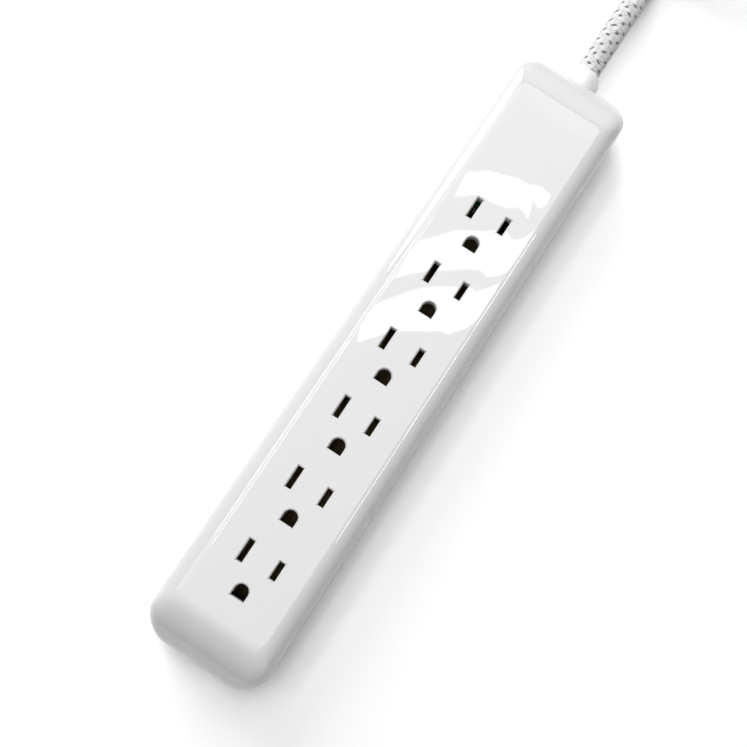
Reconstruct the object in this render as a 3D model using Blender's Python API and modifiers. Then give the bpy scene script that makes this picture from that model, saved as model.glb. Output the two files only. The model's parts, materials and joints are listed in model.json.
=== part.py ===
"""Power strip with six grounded outlets, a braided cord and a push-to-reset breaker.

Frame: metres, +Z up, +Y along the strip towards its cord, origin under the middle of the housing.
"""

import math

import bmesh
import bpy
from mathutils import Vector

# Housing
BODY_LENGTH = 0.2605
BODY_WIDTH = 0.0468
BODY_HEIGHT = 0.028
WALL = 0.0022
FLOOR_THICKNESS = 0.0024
SPLIT_HEIGHT = 0.012
SIDE_ROUND_RUN = 0.0070
SIDE_ROUND_DROP = 0.0060
END_ROUND_RUN = 0.0205
END_ROUND_DROP = 0.0186
BASE_ROUND = 0.0015
CORNER_AT_TOP = 0.003
CORNER_AT_BASE = 0.012
TONGUE_HEIGHT = 0.0018
TONGUE_INSET = 0.0013
SKIRT_INSET = 0.0010
GAP = 0.0003

# Outlets, to the NEMA 5-15 pattern
OUTLETS = 6
OUTLET_PITCH = 0.0290
OUTLET_MIDDLE_Y = -0.01465
BLADE_SPACING = 0.0127
GROUND_OFFSET = 0.0119
SLOT_WIDTH = 0.0022
NEUTRAL_SLOT_LENGTH = 0.0083
HOT_SLOT_LENGTH = 0.0067
GROUND_HOLE_RADIUS = 0.0026

# Fasteners and the wells and posts that they go through
SCREW_X = 0.0163
SCREW_ROWS_Y = (-0.112, 0.0, 0.112)
SCREW_HEAD_RADIUS = 0.0029
SCREW_HEAD_HEIGHT = 0.0019
SCREW_SHANK_RADIUS = 0.0014
SCREW_SEAT_HEIGHT = 0.0050
SCREW_TIP_HEIGHT = 0.0180
BOSS_RADIUS = 0.0032
WELL_RADIUS = 0.0044
KEYHOLE_YS = (-0.118, 0.092)
KEYHOLE_HEAD_RADIUS = 0.0042
KEYHOLE_SLOT_RADIUS = 0.0023
KEYHOLE_SLOT_LENGTH = 0.0080
KEYHOLE_CUT = (-0.0010, 0.0040)
LABEL_SIZE = (0.028, 0.090, 0.00025)
LABEL_RECESS_DEPTH = 0.0006

# Contacts
BUS_THICKNESS = 0.0008
BUS_START_Y = -0.1030
BUS_END_Y = 0.0620
LINE_BUS_WIDTH = 0.0036
LINE_BUS_HEIGHT = 0.0100
GROUND_BUS_WIDTH = 0.0060
GROUND_BUS_HEIGHT = 0.0062
CLIP_TOP_HEIGHT = 0.0185
LINE_CLIP_SIZE = (0.0032, 0.0070)
LINE_CLIP_GAP = 0.0014
GROUND_CLIP_SIZE = (0.0062, 0.0058)
GROUND_CLIP_GAP = 0.0045
CARRIER_LENGTH = 0.1670
CARRIER_MIDDLE_Y = -0.0225
CARRIER_HALF_WIDTH = 0.0110
CARRIER_BOTTOM = 0.0045
CARRIER_TOP = 0.0118
CARRIER_RIB_SIZE = (0.020, 0.0016, 0.0023)
CARRIER_RIB_SHARES = (-0.4, -0.13, 0.13, 0.4)

# Surge board
BOARD_SIZE = (0.0390, 0.0220, 0.0016)
BOARD_MIDDLE = (0.0, 0.0790, 0.0088)
BOARD_POST_RADIUS = 0.0020
BOARD_POST_INSET = 0.0040
COMPONENT_Y = BOARD_MIDDLE[1] - 0.0020
VARISTOR_RADIUS = 0.0070
VARISTOR_THICKNESS = 0.0046
VARISTOR_XS = (-0.0130, -0.0045, 0.0040)
FUSE_X = 0.0120
FUSE_RADIUS = 0.0020
FUSE_LENGTH = 0.0100

# Breaker and its button, whose axis lies along X in the split of the housing
BREAKER_Y = 0.1005
BREAKER_SIZE = (0.0183, 0.0140, 0.0150)
BREAKER_BOTTOM = 0.0070
BREAKER_FRONT_X = 0.0209
BREAKER_NECK_RADIUS = 0.0045
BREAKER_TAB_SIZE = (0.0058, 0.0008, 0.0040)
BREAKER_TABS = {"line": (0.1040, 0.0170), "load": (0.0970, 0.0120)}
BUTTON_RADIUS = 0.0031
BUTTON_LENGTH = 0.0102
BUTTON_FACE_X = 0.0232
BUTTON_HOLE_RADIUS = 0.0048

# Cord, its boot and its inner anchor
CORD_DIAMETER = 0.0096
CORD_RADIUS = CORD_DIAMETER / 2
CORD_LEAD = 0.0035
CORD_EXIT_HEIGHT = SPLIT_HEIGHT
BOOT_RADIUS = 0.0074
BOOT_HOLE_RADIUS = 0.0077
BOOT_END_Y = 0.1373
JACKET_START_Y = 0.1110
JACKET_END_Y = 0.1172
CLAMP_Y = 0.1141
CLAMP_SCREW_X = 0.0090
CLAMP_SIZE = (0.0240, 0.0036, 0.0025)
CLAMP_BOTTOM = 0.0171
CLAMP_POST_RADIUS = 0.0026
CLAMP_HOLE_RADIUS = 0.0013
CLAMP_HOLE_BOTTOM = 0.0090
WIRE_RADIUS = 0.0014

# Stored cord: a hank with two round lobes and a tied waist
HANK_X = -CORD_RADIUS
HANK_Y = 0.3060
LOBE_RADIUS = 0.030
WAIST_RADIUS = 0.060
HANK_LAYERS = 3
TIE_THICKNESS = 0.0006
TIE_WIDTH = 0.0040
HANK_BOTTOM = TIE_THICKNESS + GAP
RUN_HEIGHT = HANK_BOTTOM + CORD_RADIUS
LAST_RUN_HEIGHT = RUN_HEIGHT + 2 * (HANK_LAYERS - 1) * CORD_RADIUS
LOBE_Y = math.sqrt((LOBE_RADIUS + WAIST_RADIUS) ** 2 - (CORD_RADIUS + WAIST_RADIUS) ** 2)
HANK_EDGE = LOBE_Y + LOBE_RADIUS + CORD_RADIUS

# Plug, to the NEMA 5-15 pattern, lying on its side behind the hank
TAIL_SPAN = 0.0490
PLUG_Y = HANK_Y + HANK_EDGE + TAIL_SPAN
PLUG_HEIGHT = 0.0127
PLUG_HALF_WIDTH = 0.0130
PLUG_HALF_HEIGHT = 0.0126
PLUG_LENGTH = 0.0480
BLADE_SIZE = (0.0015, 0.0160, 0.00635)
PIN_RADIUS = 0.0024
PIN_LENGTH = 0.0180
BLADE_ROW_HEIGHT = PLUG_HEIGHT + 0.0050

ROUND_STEPS = 24
SMALL_STEPS = 16
CORNER_STEPS = 6

MATERIALS = {
    "housing": ((0.90, 0.90, 0.90), 0.15, 0.0),
    "boot": ((0.92, 0.92, 0.92), 0.35, 0.0),
    "braid": ((0.78, 0.78, 0.78), 0.90, 0.0),
    "brass": ((0.80, 0.62, 0.28), 0.30, 1.0),
    "steel": ((0.70, 0.70, 0.72), 0.30, 1.0),
    "carrier": ((0.75, 0.74, 0.70), 0.50, 0.0),
    "board": ((0.10, 0.35, 0.16), 0.50, 0.0),
    "varistor": ((0.10, 0.25, 0.60), 0.40, 0.0),
    "breaker": ((0.05, 0.05, 0.05), 0.45, 0.0),
    "button": ((0.92, 0.92, 0.92), 0.30, 0.0),
    "label": ((0.85, 0.85, 0.85), 0.60, 0.0),
    "tie": ((0.15, 0.15, 0.15), 0.50, 0.0),
    "wire_black": ((0.04, 0.04, 0.04), 0.45, 0.0),
    "wire_white": ((0.88, 0.88, 0.88), 0.45, 0.0),
    "wire_green": ((0.05, 0.40, 0.12), 0.45, 0.0),
}


# ---- Scene helpers


def clear_scene():
    for old in list(bpy.data.objects):
        bpy.data.objects.remove(old)


def make_collection(name, parent=None):
    group = bpy.data.collections.new(name)
    (parent or bpy.context.scene.collection).children.link(group)
    return group


def make_materials():
    made = {}
    for name, (colour, roughness, metallic) in MATERIALS.items():
        material = bpy.data.materials.new(name)
        material.use_nodes = True
        shader = material.node_tree.nodes["Principled BSDF"]
        shader.inputs["Base Color"].default_value = (*colour, 1.0)
        shader.inputs["Roughness"].default_value = roughness
        shader.inputs["Metallic"].default_value = metallic
        made[name] = material
    return made


def add_part(name, data, material, place=(0, 0, 0), turn=(0, 0, 0)):
    """An object of the model, with one material."""
    data.materials.append(LOOKS[material])
    part = bpy.data.objects.new(name, data)
    part.location = place
    part.rotation_euler = turn
    PARTS.objects.link(part)
    return part


def add_tool(name, data, place=(0, 0, 0), turn=(0, 0, 0)):
    """A hidden solid that is cut from a part or joined to one."""
    tool = bpy.data.objects.new(name, data)
    tool.location = place
    tool.rotation_euler = turn
    tool.hide_render = True
    tool.display_type = "WIRE"
    return tool


def combine(part, operation, tools):
    """Joins the tools to the part, or cuts them from it, in one Boolean."""
    group = make_collection(f"{part.name}_{operation.lower()}", CUTTERS)
    for tool in tools:
        group.objects.link(tool)
    boolean = part.modifiers.new(operation.title(), "BOOLEAN")
    boolean.operation = operation
    boolean.operand_type = "COLLECTION"
    boolean.collection = group


def smooth(mesh, sharp_degrees=35):
    mesh.shade_smooth()
    mesh.set_sharp_from_angle(angle=math.radians(sharp_degrees))


# ---- Meshes


def mesh_from(build, name):
    mesh = bpy.data.meshes.new(name)
    build.to_mesh(mesh)
    build.free()
    return mesh


def box_mesh(name, size):
    build = bmesh.new()
    bmesh.ops.create_cube(build, size=1.0)
    bmesh.ops.scale(build, vec=size, verts=build.verts)
    return mesh_from(build, name)


def cylinder_mesh(name, radius, length, steps=ROUND_STEPS):
    """A cylinder along Z, centred on its origin."""
    build = bmesh.new()
    bmesh.ops.create_cone(
        build, cap_ends=True, segments=steps, radius1=radius, radius2=radius, depth=length
    )
    mesh = mesh_from(build, name)
    smooth(mesh)
    return mesh


def post(name, radius, bottom, top, x, y, steps=ROUND_STEPS):
    """An upright cylinder tool."""
    mesh = cylinder_mesh(name, radius, top - bottom, steps)
    return add_tool(name, mesh, (x, y, (bottom + top) / 2))


def profile_mesh(name, profile):
    """The open line that a Screw modifier turns about Z: (radius, height) from top to bottom."""
    build = bmesh.new()
    points = [build.verts.new((radius, 0, height)) for radius, height in profile]
    for start, end in zip(points, points[1:]):
        build.edges.new((start, end))
    return mesh_from(build, name)


def turned_part(name, profile, material, place, turn=(0, 0, 0), steps=ROUND_STEPS):
    part = add_part(name, profile_mesh(name, profile), material, place, turn)
    screw = part.modifiers.new("Turn", "SCREW")
    screw.steps = steps
    screw.render_steps = steps
    screw.use_merge_vertices = True
    screw.merge_threshold = 0.00001
    screw.use_smooth_shade = True
    return part


def ring_solid(name, rings):
    """A closed mesh through rings of equal point count, with a cap on the first and the last ring."""
    build = bmesh.new()
    rows = [[build.verts.new(point) for point in ring] for ring in rings]
    for row, following in zip(rows, rows[1:]):
        for i, corner in enumerate(row):
            after = (i + 1) % len(row)
            build.faces.new((corner, row[after], following[after], following[i]))
    build.faces.new(rows[0])
    build.faces.new(rows[-1])
    bmesh.ops.recalc_face_normals(build, faces=build.faces)
    mesh = mesh_from(build, name)
    smooth(mesh)
    return mesh


def rounded_rectangle(half_width, half_length, radius):
    """Points round a rounded rectangle in the plane, anticlockwise."""
    points = []
    for corner, (x_side, y_side) in enumerate(((1, 1), (-1, 1), (-1, -1), (1, -1))):
        for step in range(CORNER_STEPS + 1):
            angle = (corner + step / CORNER_STEPS) * math.pi / 2
            x = x_side * (half_width - radius) + radius * math.cos(angle)
            y = y_side * (half_length - radius) + radius * math.sin(angle)
            points.append((x, y))
    return points


def prism_curve(name, outline, thickness):
    """A flat outline in XY with thickness along Z, centred on its plane."""
    curve = bpy.data.curves.new(name, "CURVE")
    curve.dimensions = "2D"
    curve.fill_mode = "BOTH"
    curve.extrude = thickness / 2
    spline = curve.splines.new("POLY")
    spline.points.add(len(outline) - 1)
    for point, (x, y) in zip(spline.points, outline):
        point.co = (x, y, 0, 1)
    spline.use_cyclic_u = True
    return curve


def prism_mesh(name, outline, thickness):
    """The same prism as a welded mesh, which a Boolean can use."""
    source = bpy.data.objects.new(name, prism_curve(name, outline, thickness))
    mesh = bpy.data.meshes.new_from_object(source)
    bpy.data.objects.remove(source)
    build = bmesh.new()
    build.from_mesh(mesh)
    bmesh.ops.remove_doubles(build, verts=build.verts, dist=0.000001)
    bmesh.ops.recalc_face_normals(build, faces=build.faces)
    build.to_mesh(mesh)
    build.free()
    return mesh


def smooth_route(points, spacing):
    """Points at even spacing on a smooth curve through the route's points."""
    route = [Vector(point) for point in points]
    route = [2 * route[0] - route[1], *route, 2 * route[-1] - route[-2]]
    fine = []
    samples = 16
    for before, start, end, after in zip(route, route[1:], route[2:], route[3:]):
        for step in range(samples):
            t = step / samples
            fine.append(
                0.5
                * (
                    2 * start
                    + (end - before) * t
                    + (2 * before - 5 * start + 4 * end - after) * t**2
                    + (3 * start - before - 3 * end + after) * t**3
                )
            )
    fine.append(route[-2])
    lengths = [0.0]
    for start, end in zip(fine, fine[1:]):
        lengths.append(lengths[-1] + (end - start).length)
    count = max(2, round(lengths[-1] / spacing))
    even = []
    place = 0
    for index in range(count + 1):
        wanted = lengths[-1] * index / count
        while place < len(fine) - 2 and lengths[place + 1] < wanted:
            place += 1
        share = (wanted - lengths[place]) / (lengths[place + 1] - lengths[place])
        even.append(fine[place].lerp(fine[place + 1], share))
    return even


def tube_part(name, route, radius, material, spacing):
    curve = bpy.data.curves.new(name, "CURVE")
    curve.dimensions = "3D"
    curve.bevel_depth = radius
    curve.bevel_resolution = 2
    curve.use_fill_caps = True
    points = smooth_route(route, spacing)
    spline = curve.splines.new("POLY")
    spline.points.add(len(points) - 1)
    for point, place in zip(spline.points, points):
        point.co = (*place, 1)
    spline.use_smooth = True
    return add_part(name, curve, material)


# ---- Housing


def round_over(depth, run, drop, offset):
    """How far in from the side the skin is at a depth below the top, on an elliptical round-over."""
    if depth >= drop - offset:
        return offset
    rise = 1 - depth / (drop - offset)
    return run - (run - offset) * math.sqrt(1 - rise**2)


def outer_size(height, offset=0.0):
    """Half width, half length and corner radius of the housing's skin at a height, moved in by an offset."""
    depth = max(BODY_HEIGHT - offset - height, 0.0)
    half_width = BODY_WIDTH / 2 - round_over(depth, SIDE_ROUND_RUN, SIDE_ROUND_DROP, offset)
    half_length = BODY_LENGTH / 2 - round_over(depth, END_ROUND_RUN, END_ROUND_DROP, offset)
    share = math.sin(min((BODY_HEIGHT - height) / END_ROUND_DROP, 1.0) * math.pi / 2)
    corner = CORNER_AT_TOP + (CORNER_AT_BASE - CORNER_AT_TOP) * share
    return half_width, half_length, max(corner - offset, 0.001)


def skin_ring(height, offset=0.0, inset=0.0):
    half_width, half_length, corner = outer_size(height, offset)
    corner = max(corner - inset, 0.001)
    outline = rounded_rectangle(half_width - inset, half_length - inset, corner)
    return [(x, y, height) for x, y in outline]


def skin_heights(offset, lowest):
    """Heights down the rounded edge, close together where it curves most."""
    top = BODY_HEIGHT - offset
    side = SIDE_ROUND_DROP - offset
    end = END_ROUND_DROP - offset
    depths = [side * (1 - math.cos(math.radians(angle))) for angle in (0, 15, 32, 50, 70)]
    depths += [end * (1 - math.cos(math.radians(angle))) for angle in (47, 59, 71, 82)]
    return [top - depth for depth in depths if top - depth > lowest + 0.0005] + [lowest]


def top_cover():
    """The upper shell: a rounded lid with a rabbet inside its rim, screw bosses and outlet holes."""
    rim = SPLIT_HEIGHT + GAP
    rabbet = rim + TONGUE_HEIGHT
    rings = [skin_ring(height) for height in skin_heights(0.0, rim)]
    rings.append(skin_ring(rim, inset=SKIRT_INSET))
    rings.append(skin_ring(rabbet, inset=SKIRT_INSET))
    rings += [skin_ring(height, offset=WALL) for height in reversed(skin_heights(WALL, rabbet))]
    cover = add_part("top_cover", ring_solid("top_cover", rings), "housing")
    bosses = []
    holes = []
    for place in screw_places():
        boss_bottom = SPLIT_HEIGHT - 0.0007
        boss_top = BODY_HEIGHT - WALL + 0.0002
        bosses.append(post("boss", BOSS_RADIUS, boss_bottom, boss_top, *place, SMALL_STEPS))
        hole_top = SCREW_TIP_HEIGHT + 0.002
        hole_radius = SCREW_SHANK_RADIUS + GAP
        holes.append(post("boss_hole", hole_radius, boss_bottom - 0.001, hole_top, *place, SMALL_STEPS))
    combine(cover, "UNION", bosses)
    combine(cover, "DIFFERENCE", holes + outlet_cutters() + [boot_cutter(), button_cutter()])


def screw_places():
    return [(side * SCREW_X, y) for y in SCREW_ROWS_Y for side in (-1, 1)]


def outlet_ys():
    """The blade line of each outlet, from the free end to the cord end."""
    return [OUTLET_MIDDLE_Y + (i - (OUTLETS - 1) / 2) * OUTLET_PITCH for i in range(OUTLETS)]


def ground_outline():
    """A semicircle towards the blades and a square end away from them, about the pin's centre."""
    radius = GROUND_HOLE_RADIUS
    arc = [math.pi * step / 12 for step in range(13)]
    outline = [(radius * math.cos(angle), radius * math.sin(angle)) for angle in arc]
    return outline + [(-radius, -radius), (radius, -radius)]


def outlet_cutters():
    depth = 0.008
    middle = BODY_HEIGHT - WALL / 2
    neutral = box_mesh("neutral_slot", (SLOT_WIDTH, NEUTRAL_SLOT_LENGTH, depth))
    hot = box_mesh("hot_slot", (SLOT_WIDTH, HOT_SLOT_LENGTH, depth))
    ground = prism_mesh("ground_hole", ground_outline(), depth)
    cutters = []
    for y in outlet_ys():
        cutters.append(add_tool("neutral_slot", neutral, (-BLADE_SPACING / 2, y, middle)))
        cutters.append(add_tool("hot_slot", hot, (BLADE_SPACING / 2, y, middle)))
        cutters.append(add_tool("ground_hole", ground, (0, y - GROUND_OFFSET, middle)))
    return cutters


def boot_cutter():
    length = 0.020
    mesh = cylinder_mesh("boot_hole", BOOT_HOLE_RADIUS, length)
    place = (0, BODY_LENGTH / 2, CORD_EXIT_HEIGHT)
    return add_tool("boot_hole", mesh, place, (math.pi / 2, 0, 0))


def button_cutter():
    length = 0.010
    mesh = cylinder_mesh("button_hole", BUTTON_HOLE_RADIUS, length)
    place = (BODY_WIDTH / 2, BREAKER_Y, SPLIT_HEIGHT)
    return add_tool("button_hole", mesh, place, (0, math.pi / 2, 0))


def keyhole_cutters():
    cutters = []
    bottom, top = KEYHOLE_CUT
    for y in KEYHOLE_YS:
        cutters.append(post("keyhole_head", KEYHOLE_HEAD_RADIUS, bottom, top, 0, y))
        slot = box_mesh("keyhole_slot", (2 * KEYHOLE_SLOT_RADIUS, KEYHOLE_SLOT_LENGTH, top - bottom))
        slot_y = y + KEYHOLE_SLOT_LENGTH / 2
        cutters.append(add_tool("keyhole_slot", slot, (0, slot_y, (bottom + top) / 2)))
        end_y = y + KEYHOLE_SLOT_LENGTH
        cutters.append(post("keyhole_end", KEYHOLE_SLOT_RADIUS, bottom, top, 0, end_y))
    return cutters


def bottom_cover():
    """The lower shell: a tray with a tongue round its rim, screw wells, posts and keyholes."""
    tongue_top = SPLIT_HEIGHT + TONGUE_HEIGHT
    rings = []
    for angle in (0, 30, 60, 90):
        turn = math.radians(angle)
        inset = BASE_ROUND * (1 - math.sin(turn))
        rings.append(skin_ring(BASE_ROUND * (1 - math.cos(turn)), inset=inset))
    rings.append(skin_ring(SPLIT_HEIGHT))
    rings.append(skin_ring(SPLIT_HEIGHT, inset=TONGUE_INSET))
    rings.append(skin_ring(tongue_top, inset=TONGUE_INSET))
    rings.append(skin_ring(tongue_top, inset=WALL))
    rings.append(skin_ring(FLOOR_THICKNESS, inset=WALL))
    tray = add_part("bottom_cover", ring_solid("bottom_cover", rings), "housing")
    floor = FLOOR_THICKNESS - 0.0005
    posts = []
    cuts = keyhole_cutters() + [boot_cutter(), button_cutter()]
    for place in screw_places():
        well_top = SPLIT_HEIGHT - 0.001
        posts.append(post("well", WELL_RADIUS, floor, well_top, *place, SMALL_STEPS))
        cuts.append(post("well_hole", SCREW_SHANK_RADIUS + GAP, 0, well_top + 0.001, *place, SMALL_STEPS))
        cuts.append(post("well_bore", SCREW_HEAD_RADIUS + 0.0004, -0.001, SCREW_SEAT_HEIGHT, *place))
    for side in (-1, 1):
        place = (side * CLAMP_SCREW_X, CLAMP_Y)
        posts.append(post("clamp_post", CLAMP_POST_RADIUS, floor, CLAMP_BOTTOM - GAP, *place, SMALL_STEPS))
        hole_top = CLAMP_BOTTOM + 0.001
        hole = post("clamp_hole", CLAMP_HOLE_RADIUS, CLAMP_HOLE_BOTTOM, hole_top, *place, SMALL_STEPS)
        cuts.append(hole)
        for end in (-1, 1):
            x = side * (BOARD_SIZE[0] / 2 - BOARD_POST_INSET)
            y = BOARD_MIDDLE[1] + end * (BOARD_SIZE[1] / 2 - BOARD_POST_INSET)
            top = BOARD_MIDDLE[2] - BOARD_SIZE[2] / 2 - GAP
            posts.append(post("board_post", BOARD_POST_RADIUS, floor, top, x, y, SMALL_STEPS))
    for share in CARRIER_RIB_SHARES:
        rib = box_mesh("carrier_rib", CARRIER_RIB_SIZE)
        rib_y = CARRIER_MIDDLE_Y + share * CARRIER_LENGTH
        posts.append(add_tool("carrier_rib", rib, (0, rib_y, floor + CARRIER_RIB_SIZE[2] / 2)))
    recess_size = (LABEL_SIZE[0] + 4 * GAP, LABEL_SIZE[1] + 4 * GAP, 2 * LABEL_RECESS_DEPTH)
    cuts.append(add_tool("label_recess", box_mesh("label_recess", recess_size)))
    combine(tray, "UNION", posts)
    combine(tray, "DIFFERENCE", cuts)


def rating_label():
    height = LABEL_RECESS_DEPTH - GAP - LABEL_SIZE[2] / 2
    add_part("rating_label", box_mesh("rating_label", LABEL_SIZE), "label", (0, 0, height))


def screw_profile(head_radius, head_height, shank_radius, length):
    """Pointed shank up and pan head down, as the screw stands in the housing, from its tip down."""
    return [
        (0, length),
        (shank_radius * 0.45, length),
        (shank_radius, length - 0.0015),
        (shank_radius, 0),
        (head_radius, 0),
        (head_radius, -head_height * 0.5),
        (head_radius * 0.75, -head_height * 0.9),
        (head_radius * 0.4, -head_height),
        (0, -head_height),
    ]


def housing_screws():
    """Six pan-head screws, driven up from below, each with a cross recess."""
    head_top = SCREW_SEAT_HEIGHT - GAP
    profile = screw_profile(
        SCREW_HEAD_RADIUS, SCREW_HEAD_HEIGHT, SCREW_SHANK_RADIUS, SCREW_TIP_HEIGHT - head_top
    )
    recess = box_mesh("screw_recess", (0.0032, 0.0007, 0.0016))
    for number, (x, y) in enumerate(screw_places(), 1):
        name = f"housing_screw_{number}"
        screw = turned_part(name, profile, "steel", (x, y, head_top), steps=SMALL_STEPS)
        depth = head_top - SCREW_HEAD_HEIGHT
        bars = [
            add_tool("screw_recess", recess, (x, y, depth), (0, 0, turn))
            for turn in (0, math.pi / 2)
        ]
        combine(screw, "DIFFERENCE", bars)


# ---- Contacts


def contact_carrier():
    """An insulating bed with one deep channel and two shallow ones, open at the top."""
    half_width = CARRIER_HALF_WIDTH
    bottom = CARRIER_BOTTOM
    top = CARRIER_TOP
    deep = GROUND_BUS_HEIGHT - GAP
    shallow = LINE_BUS_HEIGHT - GAP
    inner = GROUND_BUS_WIDTH / 2 + 0.0006
    near = BLADE_SPACING / 2 - LINE_BUS_WIDTH / 2 - GAP
    far = BLADE_SPACING / 2 + LINE_BUS_WIDTH / 2 + GAP
    right = [
        (half_width, bottom),
        (half_width, top),
        (far, top),
        (far, shallow),
        (near, shallow),
        (near, top),
        (inner, top),
        (inner, deep),
    ]
    outline = right + [(-x, z) for x, z in reversed(right)]
    curve = prism_curve("contact_carrier", outline, CARRIER_LENGTH)
    place = (0, CARRIER_MIDDLE_Y, 0)
    add_part("contact_carrier", curve, "carrier", place, (math.pi / 2, 0, 0))


def bus_bar(name, x, width, height, clip_size, clip_gap, clip_ys):
    """A flat strip with a U-shaped contact standing on it at each outlet."""
    length = BUS_END_Y - BUS_START_Y
    strip = box_mesh(name, (width, length, BUS_THICKNESS))
    middle = (x, (BUS_START_Y + BUS_END_Y) / 2, height + BUS_THICKNESS / 2)
    bus = add_part(name, strip, "brass", middle)
    clip_height = CLIP_TOP_HEIGHT - height
    clip = box_mesh("clip", (*clip_size, clip_height))
    opening = box_mesh("clip_opening", (clip_gap, clip_size[1] + 0.001, clip_height))
    lift = height + clip_height / 2
    clips = [add_tool("clip", clip, (x, y, lift)) for y in clip_ys]
    floor = BUS_THICKNESS + 0.0006
    openings = [add_tool("clip_opening", opening, (x, y, lift + floor)) for y in clip_ys]
    combine(bus, "UNION", clips)
    combine(bus, "DIFFERENCE", openings)


def bus_bars():
    blade_ys = outlet_ys()
    ground_ys = [y - GROUND_OFFSET for y in blade_ys]
    line = (LINE_BUS_WIDTH, LINE_BUS_HEIGHT, LINE_CLIP_SIZE, LINE_CLIP_GAP)
    bus_bar("hot_bus", BLADE_SPACING / 2, *line, blade_ys)
    bus_bar("neutral_bus", -BLADE_SPACING / 2, *line, blade_ys)
    ground = (GROUND_BUS_WIDTH, GROUND_BUS_HEIGHT, GROUND_CLIP_SIZE, GROUND_CLIP_GAP)
    bus_bar("ground_bus", 0.0, *ground, ground_ys)


# ---- Surge protection and breaker


def surge_board():
    add_part("surge_board", box_mesh("surge_board", BOARD_SIZE), "board", BOARD_MIDDLE)
    board_top = BOARD_MIDDLE[2] + BOARD_SIZE[2] / 2
    for number, x in enumerate(VARISTOR_XS, 1):
        disc = cylinder_mesh(f"varistor_{number}", VARISTOR_RADIUS, VARISTOR_THICKNESS)
        place = (x, COMPONENT_Y, board_top + GAP + VARISTOR_RADIUS)
        varistor = add_part(f"varistor_{number}", disc, "varistor", place, (0, math.pi / 2, 0))
        bevel = varistor.modifiers.new("Bevel", "BEVEL")
        bevel.width = 0.001
        bevel.segments = 2
    fuse = cylinder_mesh("thermal_fuse", FUSE_RADIUS, FUSE_LENGTH, SMALL_STEPS)
    place = (FUSE_X, COMPONENT_Y, board_top + GAP + FUSE_RADIUS)
    add_part("thermal_fuse", fuse, "steel", place, (math.pi / 2, 0, 0))


def breaker():
    """The breaker's case, whose round neck comes through the side wall and guides the button."""
    width, depth, height = BREAKER_SIZE
    middle = (BREAKER_FRONT_X - width / 2, BREAKER_Y, BREAKER_BOTTOM + height / 2)
    case = add_part("breaker_body", box_mesh("breaker_body", BREAKER_SIZE), "breaker", middle)
    along_x = (0, math.pi / 2, 0)
    neck_start = BREAKER_FRONT_X - 0.001
    neck_length = BUTTON_FACE_X - neck_start
    neck = cylinder_mesh("neck", BREAKER_NECK_RADIUS, neck_length)
    neck_place = (neck_start + neck_length / 2, BREAKER_Y, SPLIT_HEIGHT)
    combine(case, "UNION", [add_tool("neck", neck, neck_place, along_x)])
    bore_bottom = BUTTON_FACE_X - BUTTON_LENGTH - 0.0005
    bore_length = BUTTON_FACE_X - bore_bottom + 0.001
    bore = cylinder_mesh("bore", BUTTON_RADIUS + GAP, bore_length)
    bore_place = (bore_bottom + bore_length / 2, BREAKER_Y, SPLIT_HEIGHT)
    combine(case, "DIFFERENCE", [add_tool("bore", bore, bore_place, along_x)])
    tab_x = BREAKER_FRONT_X - width - GAP - BREAKER_TAB_SIZE[0] / 2
    for name, (y, z) in BREAKER_TABS.items():
        tab = box_mesh(f"breaker_tab_{name}", BREAKER_TAB_SIZE)
        add_part(f"breaker_tab_{name}", tab, "brass", (tab_x, y, z))


def reset_button():
    """A round push button on the breaker's axis, parented to an empty on its sliding axis."""
    axis = bpy.data.objects.new("reset_button_slide", None)
    axis.location = (BUTTON_FACE_X, BREAKER_Y, SPLIT_HEIGHT)
    axis.rotation_euler = (0, math.pi / 2, 0)
    PARTS.objects.link(axis)
    profile = [
        (0, 0),
        (BUTTON_RADIUS * 0.55, -0.0001),
        (BUTTON_RADIUS - 0.0004, -0.0003),
        (BUTTON_RADIUS, -0.0008),
        (BUTTON_RADIUS, -BUTTON_LENGTH),
        (0, -BUTTON_LENGTH),
    ]
    button = turned_part("reset_button", profile, "button", (0, 0, 0))
    button.parent = axis


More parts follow.
